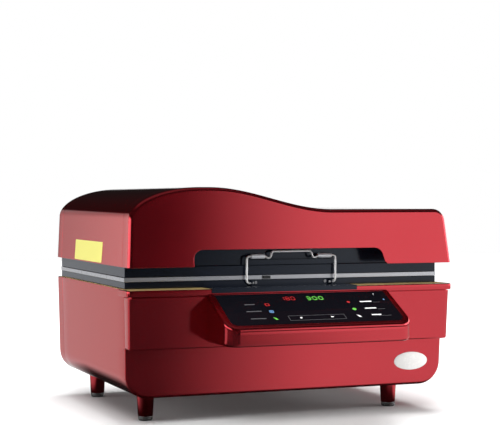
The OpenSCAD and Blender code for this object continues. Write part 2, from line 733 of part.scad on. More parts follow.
module hinge_pins() color(grey) for (i = [-1, 1]) hinge_place(i) rotate([0, 90, 0])
  cylinder(r = pin_r, h = 3 * knuckle_w, center = true);
module membrane_hinge_leaves() color(grey) for (i = [-1, 1]) hinge_place(i) difference() {
  union() {
    knuckle(seat, knuckle_w - seat);
    translate([seat, frame_y1 - y_hinge, -membrane_h / 2 + 0.5]) cube([knuckle_w - 2 * seat, hinge_back, membrane_h - 3]);
  }
  pin_bore();
}
module lid_hinge_leaves() color(dark) for (i = [-1, 1]) hinge_place(i) difference() {
  union() {
    knuckle(-knuckle_w + seat, -seat);
    translate([-knuckle_w + seat, frame_y1 - y_hinge, z_frame - z_hinge + 0.5]) cube([knuckle_w - 2 * seat, hinge_back, 3]);
    translate([-knuckle_w + seat, frame_y1 - y_hinge, z_frame - z_hinge + 0.5]) cube([knuckle_w - 2 * seat, 3, band_h - 2]);
  }
  pin_bore();
}

// Membrane frame

clamp_w = window_w + 50;
clamp_d = window_d + 50;
clamp_t = 2;
z_sheet = z_membrane + clamp_t;
module membrane_frame() color([0.85, 0.86, 0.88]) difference() {
  frame_ring(frame_w + 2, frame_d, window_w, window_d, z_membrane, z_membrane_top);
  box(-clamp_w / 2 - seat, clamp_w / 2 + seat, mid_frame_y - clamp_d / 2 - seat, mid_frame_y + clamp_d / 2 + seat,
    z_membrane - 1, z_sheet + membrane_t);
  at_screws() cylinder(r = 3.2, h = 1);
}
module membrane_sheet() color([0.8, 0.8, 0.78, 0.6])
  box(-clamp_w / 2, clamp_w / 2, mid_frame_y - clamp_d / 2, mid_frame_y + clamp_d / 2, z_sheet, z_sheet + membrane_t);
module membrane_clamp() color(grey) frame_ring(clamp_w, clamp_d, window_w, window_d, z_membrane, z_sheet);
screw_sink = 0.6;
module at_screws() for (i = [-1, -0.5, 0, 0.5, 1], j = [-1, 1])
  translate([i * (clamp_w / 2 - 12), mid_frame_y + j * (clamp_d / 2 + 8), z_membrane_top - screw_sink]) children();
module clamp_screws() color(grey) at_screws() cylinder(r = 3, h = screw_sink);
tab_x = -38;
module pull_tab() color(dark)
  box(tab_x - 7, tab_x + 7, frame_y0 - 3, frame_y0, z_membrane + 1, z_membrane_top - 1);

// Lid skins

module lid_ring(outer, inner) along_y(-1, body_d + 30) difference() {
  polygon(lid_outline(outer, z_lid));
  polygon(lid_outline(inner, z_lid - 5));
}
module lid_solid() along_y(-1, body_d + 30) polygon(lid_outline(0, z_lid));
lap = 8;
lap_in = sheet_t + seat;
lap_t = 1.5;

module lid_front_cover() color(red) difference() {
  union() {
    intersection() {
      lid_ring(0, cover_t);
      along_x(-half_w, half_w) polygon(lid_slice(0, lid_wrap));
    }
    intersection() {
      lid_ring(lap_in, lap_in + lap_t);
      along_x(-half_w, half_w) polygon(lid_slice(lid_wrap - lap, lid_wrap + lap));
    }
    intersection() {
      lid_solid();
      along_x(-half_w, half_w) polygon(lid_slice(0, cover_t));
    }
  }
  along_y(-5, 30) polygon(concat(
    [[-notch_left, z_lid - 1]],
    arc_points(-notch_left + notch_r, z_lid + notch_h - notch_r, notch_r, 180, 90, 6),
    arc_points(notch_right - notch_r, z_lid + notch_h - notch_r, notch_r, 90, 20, 5),
    [[notch_right + 3, z_lid + 4], [notch_right + 8, z_lid - 1]]
  ));
}

module lid_rear_cover() color(red) {
  intersection() {
    lid_ring(0, cover_t);
    along_x(-half_w, half_w) polygon(lid_rear_slice(0, lid_wrap));
  }
  intersection() {
    lid_ring(lap_in, lap_in + lap_t);
    along_x(-half_w, half_w) polygon(lid_rear_slice(lid_wrap - lap, lid_wrap + lap));
  }
  intersection() {
    lid_solid();
    along_x(-half_w, half_w) polygon(lid_rear_slice(0, cover_t));
  }
}

module lid_shell() color(red) intersection() {
  lid_ring(0, sheet_t);
  along_x(-half_w, half_w) polygon(lid_middle_slice(lid_wrap + 0.6, lid_wrap + 0.6));
}

// Lid frame and latch keeper

frame_wall = 2;
recess_y = frame_y0 + 6;
z_shelf = z_frame + band_h - 1;
liner_hw = window_w / 2 + 1.5;
liner_hd = window_d / 2 + 1.5;
module lid_frame() color(dark) {
  difference() {
    union() {
      frame_ring(frame_w, frame_d, frame_w - 2 * frame_wall, frame_d - 2 * frame_wall, z_frame, z_lid + 6);
      frame_ring(frame_w, frame_d, window_w, window_d, z_frame, z_frame + frame_wall);
    }
    box(-notch_left - 14, notch_right + 40, frame_y0 - 1, frame_y0 + frame_wall + 1, z_shelf, z_lid + 10);
  }
  // Recessed panel behind the notch
  box(-notch_left - 14, notch_right + 40, frame_y0, recess_y + frame_wall, z_shelf - frame_wall, z_shelf);
  box(-notch_left - 14, notch_right + 40, recess_y, recess_y + frame_wall, z_shelf, z_lid + notch_h + 6);
  // Blocks and arms that carry the lid skins
  for (i = [-1, 1], j = [-1, 1])
    box(i * (frame_w / 2 - 22) - 8, i * (frame_w / 2 - 22) + 8,
      mid_frame_y + j * (frame_d / 2 - 90) - 8, mid_frame_y + j * (frame_d / 2 - 90) + 8, z_frame, z_lid + 20);
  for (i = [0, 1], j = [-1, 1]) mirror([i, 0, 0])
    box(frame_w / 2 - 20, lid_hw(z_lid + 20) - sheet_t - seat,
      mid_frame_y + j * (frame_d / 2 - 90) - 8, mid_frame_y + j * (frame_d / 2 - 90) + 8, z_lid + 8, z_lid + 20);
  // Tongues that carry the front and rear covers
  for (i = [0, 1], y = [[frame_y0 - 26, frame_y0], [frame_y1 - 20, frame_y1]]) mirror([i, 0, 0])
    box(frame_w / 2 - 12, lid_hw(z_lid + 8) - lap_in - lap_t - seat, y[0], y[1], z_lid + 2, z_lid + 6);
}

keeper_y0 = bail_y + sleeve_r + 0.6;
keeper_half = leg_x - 5;
z_keeper = bail_z + (sleeve_z - 3) * cos(8) - wire_r - 0.4;
module latch_keeper() color([0.25, 0.25, 0.28]) along_x(bail_x - keeper_half, bail_x + keeper_half) polygon([
  [keeper_y0, z_shelf + seat], [keeper_y0 + 1.5, z_shelf + seat], [keeper_y0 + 1.5, z_keeper - 1.5],
  [recess_y - 1.5, z_keeper - 1.5], [recess_y - 1.5, z_shelf], [recess_y, z_shelf], [recess_y, z_keeper],
  [keeper_y0, z_keeper]
]);

label_y0 = 165;
label_l = 184;
label_h = 36;
module side_label() color([0.95, 0.85, 0.25])
  translate([-lid_hw(z_lid + 2), label_y0, z_lid + 2]) rotate([0, lid_taper, 0]) translate([-0.4, 0, 0])
    cube([0.4, label_l, label_h]);

// Oven inside the lid

z_liner0 = z_frame + frame_wall;
z_liner1 = z_frame + liner_h;
module oven_liner() color(grey) difference() {
  box(-liner_hw, liner_hw, mid_frame_y - liner_hd, mid_frame_y + liner_hd, z_liner0, z_liner1);
  box(-window_w / 2, window_w / 2, mid_frame_y - window_d / 2, mid_frame_y + window_d / 2, z_liner0 - 1, z_liner1 - 1.5);
  translate([-fan_left, mid_frame_y, z_liner1 - 5]) cylinder(r = impeller_r + 4, h = 10);
}
cup_r = impeller_r + 5;
cup_h = 21;
module insulation() color([0.85, 0.82, 0.72]) difference() {
  box(-liner_hw - insulation_t, liner_hw + insulation_t, mid_frame_y - liner_hd - insulation_t,
    mid_frame_y + liner_hd + insulation_t, z_liner0 + 0.5, z_liner1 + insulation_t);
  box(-liner_hw - seat, liner_hw + seat, mid_frame_y - liner_hd - seat, mid_frame_y + liner_hd + seat,
    z_liner0 - 1, z_liner1 + seat);
  translate([-fan_left, mid_frame_y, z_liner1]) cylinder(r = cup_r + 2, h = 40);
}
heater_count = 4;
module heater_tubes() color([0.5, 0.45, 0.4]) for (j = [0:heater_count - 1])
  translate([0, mid_frame_y + (j / (heater_count - 1) - 0.5) * (window_d - 50), z_liner1 - 1.5 - heater_drop]) rotate([0, 90, 0]) {
    cylinder(r = heater_r, h = window_w, center = true);
    for (s = [-1, 1]) translate([0, 0, s * (window_w / 2 - 6)]) cylinder(r = heater_r + 3, h = 12, center = true);
  }
guard_t = 3;
module heater_guard() color(grey) translate([0, mid_frame_y, z_liner1 - guard_drop]) {
  for (k = [-4:4]) translate([k * work_w / 9 - guard_t / 2, -window_d / 2, 0]) cube([guard_t, window_d, guard_t]);
  for (k = [-1:1]) translate([-window_w / 2, k * work_d / 3.2 - guard_t / 2, 0]) cube([window_w, guard_t, guard_t]);
}
module circulation_motor() color([0.35, 0.35, 0.38]) translate([-fan_left, mid_frame_y, z_liner1]) difference() {
  union() {
    difference() {
      cylinder(r = cup_r, h = cup_h);
      translate([0, 0, -1]) cylinder(r = cup_r - 1.5, h = cup_h - 0.5);
    }
    translate([0, 0, cup_h]) cylinder(r = 28, h = 22);
  }
  translate([0, 0, cup_h - 3]) cylinder(r = 4 + running, h = 18);
}
module circulation_impeller() color(grey) translate([-fan_left, mid_frame_y, z_liner1]) {
  translate([0, 0, 3]) cylinder(r = impeller_r, h = 1.5);
  translate([0, 0, 4]) cylinder(r = 10, h = 12);
  translate([0, 0, 4]) cylinder(r = 4, h = 27);
  for (k = [0:9]) rotate(36 * k) translate([9, -0.8, 4]) cube([impeller_r - 12, 1.6, 11]);
}

placed() base_shell();
placed() base_front_cover();
placed() lower_front_panel();
placed() base_rear_cover();
placed() deck_plate();
placed() vacuum_tray();
placed() tray_pan();
placed() work_plate();
placed() tray_gasket();
placed() tray_nozzle();
placed() foot_front_left();
placed() foot_front_right();
placed() foot_rear_left();
placed() foot_rear_right();
placed() tip_front_left();
placed() tip_front_right();
placed() tip_rear_left();
placed() tip_rear_right();
placed() control_housing();
placed() control_bezel();
placed() control_glass();
placed() control_board();
placed() oval_badge();
placed() vacuum_pump();
placed() pump_bracket();
placed() vacuum_hose();
placed() solenoid_valve();
placed() transformer();
placed() cooling_fan_frame();
placed() cooling_fan_rotor();
placed() fan_guard();
placed() power_inlet();
placed() switch_bezel();
placed() rocker_switch();
placed() bail_bracket();
placed() bail_screws();
placed() latch_bail();
placed() sleeve_left();
placed() sleeve_right();
placed() hinge_brackets();
placed() hinge_pins();
placed() membrane_hinge_leaves();
placed() lid_hinge_leaves();
placed() membrane_frame();
placed() membrane_sheet();
placed() membrane_clamp();
placed() clamp_screws();
placed() pull_tab();
placed() lid_front_cover();
placed() lid_shell();
placed() lid_rear_cover();
placed() lid_frame();
placed() latch_keeper();
placed() side_label();
placed() oven_liner();
placed() insulation();
placed() heater_tubes();
placed() heater_guard();
placed() circulation_impeller();
placed() circulation_motor();
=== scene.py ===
# %% [markdown]
# This script dresses a benchtop vacuum oven press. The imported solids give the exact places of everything
# that carries, turns or fits. The skins that the eye meets are modelled here again as smooth surfaces with
# rounded edges, because flat facets would break up the long reflections in glossy metallic paint.

# %% Load the frame
import json

import bmesh
import bpy
import numpy as np
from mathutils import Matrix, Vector


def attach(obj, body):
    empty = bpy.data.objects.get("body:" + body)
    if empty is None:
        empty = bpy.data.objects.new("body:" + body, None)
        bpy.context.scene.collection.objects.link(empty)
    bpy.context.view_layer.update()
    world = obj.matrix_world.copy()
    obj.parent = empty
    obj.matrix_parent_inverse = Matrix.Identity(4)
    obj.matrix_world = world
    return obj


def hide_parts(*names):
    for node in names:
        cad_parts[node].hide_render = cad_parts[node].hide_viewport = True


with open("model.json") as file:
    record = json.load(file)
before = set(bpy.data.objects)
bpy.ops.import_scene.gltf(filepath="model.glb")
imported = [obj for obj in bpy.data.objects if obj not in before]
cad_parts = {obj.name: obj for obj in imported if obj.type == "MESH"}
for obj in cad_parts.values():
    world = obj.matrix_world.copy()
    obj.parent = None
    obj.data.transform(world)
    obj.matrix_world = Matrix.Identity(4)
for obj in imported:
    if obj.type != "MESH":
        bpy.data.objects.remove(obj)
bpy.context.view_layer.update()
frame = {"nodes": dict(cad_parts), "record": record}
nodes = frame["nodes"]
MM = 0.001
print("frame loaded:", len(nodes), "nodes")

# %% [markdown]
# The camera stands in front of the machine and to its left, a little above the lid, with a long lens. Its
# place was found by lining up the straight edges of the base, so that the outline falls where it should.

# %% Camera
EYE = Vector((-0.9440, -2.3804, 0.3792))
LOOK = Vector((0.36634, 0.93048, -0.00925))
LENS_MM, SENSOR_MM = 100.56, 36.0
camera_data = bpy.data.cameras.new("photo_camera")
camera_data.lens = LENS_MM
camera_data.sensor_width = SENSOR_MM
camera = bpy.data.objects.new("photo_camera", camera_data)
camera.location = EYE
camera.rotation_euler = LOOK.to_track_quat("-Z", "Y").to_euler()
bpy.context.scene.collection.objects.link(camera)
bpy.context.scene.camera = camera
print("camera distance in metres:", round(EYE.length, 2))

# %% [markdown]
# The room, the floor and the finishes are all built from nodes. A few helpers keep that readable: each adds
# one kind of node and returns its output, and takes sockets or plain numbers. A patch of light is a product
# of smooth steps, because it is there only where every one of its limits lets it be.

# %% Node helpers
RISING, FALLING = (0.0, 1.0), (1.0, 0.0)
WHITE = (1.0, 1.0, 1.0, 1.0)


def link(tree, source, target):
    """Joins two sockets of a node tree."""
    tree.links.new(source, target)


def math_node(tree, operation, first, second=None, third=None):
    """Adds a Math node whose inputs are sockets or plain numbers, and returns its output."""
    node = tree.nodes.new("ShaderNodeMath")
    node.operation = operation
    for socket, value in zip(node.inputs, (first, second, third)):
        if value is None:
            continue
        if isinstance(value, (int, float)):
            socket.default_value = value
        else:
            link(tree, value, socket)
    return node.outputs[0]


def step_node(tree, value, low, high, bottom=0.0, top=1.0):
    """Adds a smooth step from bottom to top as the value goes from low to high."""
    node = tree.nodes.new("ShaderNodeMapRange")
    node.interpolation_type = "SMOOTHSTEP"
    link(tree, value, node.inputs["Value"])
    node.inputs["From Min"].default_value = low
    node.inputs["From Max"].default_value = high
    node.inputs["To Min"].default_value = bottom
    node.inputs["To Max"].default_value = top
    return node.outputs["Result"]


def chain(tree, operation, first, *others):
    """Joins values from left to right with one operation, such as a product or a sum."""
    for value in others:
        first = math_node(tree, operation, first, value)
    return first


def mix_shaders(tree, factor, first, second):
    """Adds a Mix Shader node that goes from the first shader to the second as the factor goes from 0 to 1."""
    mix = tree.nodes.new("ShaderNodeMixShader")
    for socket, source in zip(mix.inputs, (factor, first, second)):
        link(tree, source, socket)
    return mix.outputs[0]


def coordinates(tree, kind):
    """Adds a Texture Coordinate node and returns one of its outputs, whole and split into x, y and z."""
    where = tree.nodes.new("ShaderNodeTexCoord").outputs[kind]
    split = tree.nodes.new("ShaderNodeSeparateXYZ")
    link(tree, where, split.inputs[0])
    return where, split.outputs

# %% [markdown]
# Glossy paint shows its surroundings more than its own colour, so the room is drawn with care. It is dark,
# with a few bright things in it: a wall behind on the left that ends in an uneven skyline, a bright part at
# the front right, a box far out on either side, a faint ceiling, and a strip along the horizon at the back
# right. They could be real walls and lamps. As steps of the direction that a ray leaves in, each can be
# moved alone, and none of them throws a shadow.

# %% Room values
# A pair is where a step starts and ends in the direction: across to the right, along to the back, or up.
BEHIND, AHEAD = (-0.05, 0.25), (-0.25, -0.05)
SKYLINE_SCALE, SKYLINE_DETAIL, SKYLINE_WANDER = 26.0, 3.0, 0.05
WALL_TOP, WALL_TURN, WALL_END = (0.20, 0.225), (-0.33, -0.2), (-0.14, -0.06)
WALL_LEVEL = (0.9, 0.35)
FRONT_SPREAD, FRONT_TOP, FRONT_LEVEL = (0.31, 0.43), (0.34, 0.6), 1.05
BOX_TOP = (0.3, 0.45)
RIGHT_EDGE, RIGHT_BOX = (0.72, 0.8), 2.2
LEFT_EDGE, LEFT_BOX = (-0.82, -0.74), 1.6
CEILING_EDGE, CEILING_LEVEL = (0.8, 0.97), 0.12
HORIZON_TOP, HORIZON_EDGE, HORIZON_LEVEL = (0.03, 0.08), (0.15, 0.3), 0.9
AMBIENT_LEVEL = 0.008
print("brightest thing in the room:", max(*WALL_LEVEL, FRONT_LEVEL, RIGHT_BOX, LEFT_BOX, HORIZON_LEVEL))

# %% Room
def room_light(tree):
    """How bright the room is in a direction: the sum of its bright things, each a product of smooth steps.

    The wall's upper limit is the height plus a noise of the direction, and so its top edge wanders. The front
    grows from dark to bright as the direction turns to the right, so that a front panel does the same.
    """
    direction, (across, along, up) = coordinates(tree, "Generated")
    skyline = tree.nodes.new("ShaderNodeTexNoise")
    skyline.inputs["Scale"].default_value = SKYLINE_SCALE
    skyline.inputs["Detail"].default_value = SKYLINE_DETAIL
    link(tree, direction, skyline.inputs["Vector"])
    lowered = math_node(tree, "SUBTRACT", up, SKYLINE_WANDER / 2)
    rough_up = math_node(tree, "MULTIPLY_ADD", skyline.outputs["Fac"], SKYLINE_WANDER, lowered)
    behind = step_node(tree, along, *BEHIND, *RISING)
    ahead = step_node(tree, along, *AHEAD, *FALLING)
    low = step_node(tree, math_node(tree, "ABSOLUTE", up), *BOX_TOP, *FALLING)
    wall = chain(tree, "MULTIPLY", step_node(tree, rough_up, *WALL_TOP, *FALLING), behind,
                 step_node(tree, across, *WALL_TURN, *WALL_LEVEL), step_node(tree, across, *WALL_END, *FALLING))
    front = chain(tree, "MULTIPLY", step_node(tree, across, *FRONT_SPREAD, *RISING), ahead,
                  step_node(tree, up, *FRONT_TOP, *FALLING))
    right_box = math_node(tree, "MULTIPLY", step_node(tree, across, *RIGHT_EDGE, 0.0, RIGHT_BOX), low)
    left_box = math_node(tree, "MULTIPLY", step_node(tree, across, *LEFT_EDGE, LEFT_BOX, 0.0), low)
    horizon = chain(tree, "MULTIPLY", step_node(tree, up, *HORIZON_TOP, *FALLING), behind,
                    step_node(tree, across, *HORIZON_EDGE, 0.0, HORIZON_LEVEL))
    return chain(tree, "ADD", wall, math_node(tree, "MULTIPLY_ADD", front, FRONT_LEVEL, AMBIENT_LEVEL),
                 math_node(tree, "ADD", left_box, right_box),
                 step_node(tree, up, *CEILING_EDGE, 0.0, CEILING_LEVEL), horizon)


def make_world():
    """The room for every ray but the camera's own, which sees plain white."""
    world = bpy.data.worlds.new("studio")
    bpy.context.scene.world = world
    world.use_nodes = True
    tree = world.node_tree
    tree.nodes.clear()
    room, white = tree.nodes.new("ShaderNodeBackground"), tree.nodes.new("ShaderNodeBackground")
    for background in (room, white):
        background.inputs["Color"].default_value = WHITE
    link(tree, room_light(tree), room.inputs["Strength"])
    path = tree.nodes.new("ShaderNodeLightPath")
    seen = mix_shaders(tree, path.outputs["Is Camera Ray"], room.outputs[0], white.outputs[0])
    link(tree, seen, tree.nodes.new("ShaderNodeOutputWorld").inputs["Surface"])
    return world


bpy.context.scene.view_settings.view_transform = "Standard"
print("world:", make_world().name)

# %% [markdown]
# The room gives the gloss. Plain colours get their light from three large soft lamps: one overhead, one in
# front on the left, and a weak one from the left. Large lamps give the soft shadow under the feet. They are
# hidden from glossy rays, so that no rectangle of a lamp shows in the paint.

# %% Lamps
def area_lamp(name, place, target, size, power):
    """A soft rectangular lamp that looks at a target and isn't itself seen in the gloss."""
    data = bpy.data.lights.new(name, "AREA")
    data.shape = "RECTANGLE"
    data.size, data.size_y = size
    data.energy = power
    lamp = bpy.data.objects.new(name, data)
    lamp.location = place
    lamp.rotation_euler = (Vector(target) - Vector(place)).to_track_quat("-Z", "Y").to_euler()
    lamp.visible_glossy = False
    bpy.context.scene.collection.objects.link(lamp)
    return lamp


LAMPS = {
    "overhead_lamp": ((0.1, 0.1, 2.6), (0.0, 0.0, 0.0), (1.6, 1.6), 100),
    "front_lamp": ((-1.2, -2.2, 1.9), (0.0, 0.0, 0.2), (1.4, 1.2), 75),
    "left_lamp": ((-2.6, 0.4, 0.9), (-0.3, 0.0, 0.2), (1.4, 1.2), 5),
}
for name, (place, target, size, power) in LAMPS.items():
    area_lamp(name, place, target, size, power)
print("lamps:", len(LAMPS))

# %% [markdown]
# The floor does three jobs. It keeps the shadow under the feet. Where gloss looks down at it, it glows with
# painted light in the same gradient as the front of the room: a painted patch of light that grows from left
# to right, and spreads as the floor gets further away. Behind the machine the painted glow is even, and close
# round the machine it is darkened by a painted shadow, since a glow throws no shadow. The camera sees it turn
# to plain white a little way off.

# %% Floor values
FLOOR_HALF = 6.0
FLOOR_COLOUR, FLOOR_ROUGHNESS = (0.9, 0.9, 0.9, 1.0), 0.8
FRONT_PLANE, RAY_SLANT, RAY_SPREAD = -0.2, -0.4347, 0.45
# painted light and painted shadow in the floor's glow, which only gloss sees
PAINTED_PATCH_EDGE, PAINTED_PATCH_LEVEL = (-0.27, 0.12), (0.05, 0.85)
BACK_EDGE, BACK_LEVEL = (-0.2, 0.1), 0.6
HALF_WIDTH, HALF_DEPTH, MIDDLE_Y, SIDE_STEEPNESS = 0.30, 0.25, 0.05, 2.5
PAINTED_SHADOW_EDGE, FAR_EDGE, DARK_TO_FULL = (-0.03, 0.22), (0.12, 1.2), (0.02, 1.0)
print("floor size in metres:", 2 * FLOOR_HALF)

# %% Floor
def painted_floor_masks(tree, x, y):
    """The painted light that gloss sees on the floor, with a painted shadow round the machine, and how much of
    its plain white the camera sees.

    In front, a point is followed along the ray to the front plane, where x is shifted by the slant and divided
    by one plus the spread times the distance. Its painted light is a smooth step of that x. Round the machine,
    the distance from its plan is the larger of |x| and |y| less half its size, and both masks fall with it; in
    the gloss mask this fall is a painted shadow.
    """
    ahead = math_node(tree, "MAXIMUM", math_node(tree, "SUBTRACT", FRONT_PLANE, y), 0.0)
    shifted = math_node(tree, "MULTIPLY_ADD", ahead, RAY_SLANT, x)
    start = math_node(tree, "DIVIDE", shifted, math_node(tree, "MULTIPLY_ADD", ahead, RAY_SPREAD, 1.0))
    # painted light: the glow that gloss sees, a patch in front and an even level behind
    light = tree.nodes.new("ShaderNodeMix")
    link(tree, step_node(tree, y, *BACK_EDGE), light.inputs["Factor"])
    link(tree, step_node(tree, start, *PAINTED_PATCH_EDGE, *PAINTED_PATCH_LEVEL), light.inputs["A"])
    light.inputs["B"].default_value = BACK_LEVEL
    beside = math_node(tree, "SUBTRACT", math_node(tree, "ABSOLUTE", x), HALF_WIDTH)
    off_middle = math_node(tree, "ABSOLUTE", math_node(tree, "SUBTRACT", y, MIDDLE_Y))
    before = math_node(tree, "SUBTRACT", off_middle, HALF_DEPTH)
    steep = math_node(tree, "MAXIMUM", math_node(tree, "MULTIPLY", beside, SIDE_STEEPNESS), before)
    # painted shadow: the gloss glow is darkened close round the machine
    outside_painted_shadow = step_node(tree, steep, *PAINTED_SHADOW_EDGE, *DARK_TO_FULL)
    far = step_node(tree, math_node(tree, "MAXIMUM", beside, before), *FAR_EDGE, *DARK_TO_FULL)
    return math_node(tree, "MULTIPLY", light.outputs["Result"], outside_painted_shadow), far


def make_floor():
    """A wide pale sheet that glows with its painted light and painted shadow for gloss, and with its far mask for
    the camera.
    """
    mesh = bpy.data.meshes.new("floor")
    corners = [(-1, -1, 0), (1, -1, 0), (1, 1, 0), (-1, 1, 0)]
    mesh.from_pydata((np.array(corners) * FLOOR_HALF).tolist(), [], [(0, 1, 2, 3)])
    floor = bpy.data.objects.new("floor", mesh)
    bpy.context.scene.collection.objects.link(floor)
    material = bpy.data.materials.new("studio_floor")
    material.use_nodes = True
    tree = material.node_tree
    shader = tree.nodes["Principled BSDF"]
    values = {"Base Color": FLOOR_COLOUR, "Roughness": FLOOR_ROUGHNESS, "Specular IOR Level": 0.0,
              "Emission Color": WHITE}
    for label, value in values.items():
        shader.inputs[label].default_value = value
    light, far = painted_floor_masks(tree, *coordinates(tree, "Object")[1][:2])
    glow = tree.nodes.new("ShaderNodeEmission")
    link(tree, light, glow.inputs["Strength"])
    path = tree.nodes.new("ShaderNodeLightPath")
    plain = math_node(tree, "MULTIPLY", path.outputs["Is Camera Ray"], far)
    link(tree, plain, shader.inputs["Emission Strength"])
    seen = mix_shaders(tree, path.outputs["Is Glossy Ray"], shader.outputs[0], glow.outputs[0])
    link(tree, seen, tree.nodes["Material Output"].inputs["Surface"])
    mesh.materials.append(material)
    return floor


print("floor:", make_floor().name)

# %% [markdown]
# Small effects repeat in many finishes: fine grain that breaks up a reflection, soft large mottling that
# keeps a big panel from looking dead, and lines of brushing along one direction. They could be drawn again
# in each material. Here grain and brushing are node groups with named inputs, so that a finish only states
# how strong and how fine it wants the effect.

# %% Group helpers
def new_group(name, inputs, outputs):
    """A shader node group with float inputs and the given outputs."""
    group = bpy.data.node_groups.new(name, "ShaderNodeTree")
    for label, value in inputs.items():
        socket = group.interface.new_socket(label, in_out="INPUT", socket_type="NodeSocketFloat")
        socket.default_value = value
    for label, kind in outputs.items():
        group.interface.new_socket(label, in_out="OUTPUT", socket_type=kind)
    return group, group.nodes.new("NodeGroupInput"), group.nodes.new("NodeGroupOutput")


def noise_node(tree, scale, detail=2.0, stretch=None):
    """A noise on Object coordinates, stretched along an axis if asked."""
    where = tree.nodes.new("ShaderNodeTexCoord")
    noise = tree.nodes.new("ShaderNodeTexNoise")
    noise.inputs["Detail"].default_value = detail
    source = where.outputs["Object"]
    if stretch:
        turn = tree.nodes.new("ShaderNodeMapping")
        turn.inputs["Scale"].default_value = stretch
        link(tree, source, turn.inputs["Vector"])
        source = turn.outputs[0]
    link(tree, source, noise.inputs["Vector"])
    if isinstance(scale, (int, float)):
        noise.inputs["Scale"].default_value = scale
    else:
        link(tree, scale, noise.inputs["Scale"])
    return noise.outputs["Fac"]

# %% [markdown]
# The grain's mask is mostly broad mottling, with some of the fine grain in it, and its height is the fine
# grain alone. Brushing is the same noise, squeezed along one axis until its spots are long thin streaks.

# %% Grain and brushing
GRAIN_DETAIL, MOTTLE_SCALE, MOTTLE_DETAIL, BRUSH_DETAIL = 3.0, 6.0, 2.0, 4.0
MOTTLE_SHARE, GRAIN_SHARE, MIDDLE_GREY = 0.6, 0.4, 0.5
ALONG_X = (0.02, 1.0, 1.0)


def make_grain_group():
    """Fine grain: a mask of mottling and grain, each times its share, and a height of the grain round zero."""
    group, source, target = new_group(
        "fine_grain",
        {"Scale": 900.0, "Amount": 0.1},
        {"Mask": "NodeSocketFloat", "Height": "NodeSocketFloat"},
    )
    fine = noise_node(group, source.outputs["Scale"], GRAIN_DETAIL)
    broad = noise_node(group, MOTTLE_SCALE, MOTTLE_DETAIL)
    centred = math_node(group, "SUBTRACT", fine, MIDDLE_GREY)
    broad_share = math_node(group, "MULTIPLY", broad, MOTTLE_SHARE)
    fine_share = math_node(group, "MULTIPLY", fine, GRAIN_SHARE)
    link(group, math_node(group, "ADD", broad_share, fine_share), target.inputs["Mask"])
    link(group, math_node(group, "MULTIPLY", centred, source.outputs["Amount"]), target.inputs["Height"])
    return group


def make_brush_group(name, stretch):
    """Brushing: long thin streaks across one axis, as a mask."""
    group, source, target = new_group(name, {"Scale": 300.0}, {"Mask": "NodeSocketFloat"})
    streaks = noise_node(group, source.outputs["Scale"], BRUSH_DETAIL, stretch)
    link(group, streaks, target.inputs["Mask"])
    return group


grain_group = make_grain_group()
brush_group = make_brush_group("brushed_along_x", ALONG_X)
print("effects:", grain_group.name, brush_group.name)

# %% [markdown]
# Every finish here is one recipe with other numbers: a colour that wanders between two close tones, a
# roughness that wanders with it, a clear coat or none, and a little relief. The constants are set on the
# shader's own sockets, because only what changes over the surface needs nodes.

# %% Material maker
COAT_ROUGHNESS, RELIEF_DEPTH = 0.04, 0.0002
MASK_RANGE, ROUGH_LOW, ROUGH_HIGH = (0.2, 0.8), 0.85, 1.15


def ramp(tree, mask, low, high):
    """A colour that runs from low to high as the mask goes from 0 to 1."""
    mix = tree.nodes.new("ShaderNodeMix")
    mix.data_type = "RGBA"
    mix.inputs["A"].default_value = (*low, 1.0)
    mix.inputs["B"].default_value = (*high, 1.0)
    link(tree, mask, mix.inputs["Factor"])
    return mix.outputs["Result"]


def group_node(tree, group, **values):
    """Places a node group in a material with its own values."""
    node = tree.nodes.new("ShaderNodeGroup")
    node.node_tree = group
    for label, value in values.items():
        node.inputs[label].default_value = value
    return node


def finish_material(name, low, high, metallic, rough, coat, grain, bump, brushed, special):
    """A finish whose mask moves its colour from low to high, and its roughness round its value."""
    material = bpy.data.materials.new(name)
    material.use_nodes = True
    tree = material.node_tree
    shader = tree.nodes["Principled BSDF"]
    grains = group_node(tree, grain_group, Scale=grain, Amount=1.0)
    mask = grains.outputs["Mask"]
    if brushed:
        mask = group_node(tree, brush_group, Scale=grain).outputs["Mask"]
    link(tree, ramp(tree, mask, low, high), shader.inputs["Base Color"])
    roughness = step_node(tree, mask, *MASK_RANGE, rough * ROUGH_LOW, rough * ROUGH_HIGH)
    link(tree, roughness, shader.inputs["Roughness"])
    values = {"Metallic": metallic, "Coat Weight": coat, "Coat Roughness": COAT_ROUGHNESS, **special}
    for label, value in values.items():
        shader.inputs[label].default_value = value
    if bump:
        relief = tree.nodes.new("ShaderNodeBump")
        relief.inputs["Strength"].default_value = bump
        relief.inputs["Distance"].default_value = RELIEF_DEPTH
        link(tree, grains.outputs["Height"], relief.inputs["Height"])
        link(tree, relief.outputs[0], shader.inputs["Normal"])
    return material

# %% [markdown]
# The covers are sprayed in a clear coated metallic red. The edge tint keeps the paint red where it is seen
# at a low angle, since a plain metal would turn white there. The dark frame has a thin cool enamel, the
# deck is gold passivated zinc, and the wire, the sleeves and the frame of the membrane are bright metal.
# Most of the rest is inside the machine. One table holds them all, because they differ only in numbers.

# %% Finishes
BRUSHED = {"satin_aluminium", "brushed_plate", "sleeve_metal"}
# settings that only these finishes need
SPECIAL = {
    "candy_red": {"Specular Tint": (1.0, 0.25, 0.28, 1.0)},
    "dark_enamel": {"Specular Tint": (0.72, 0.82, 1.0, 1.0)},
    "touch_glass": {"Specular IOR Level": 0.07},
}
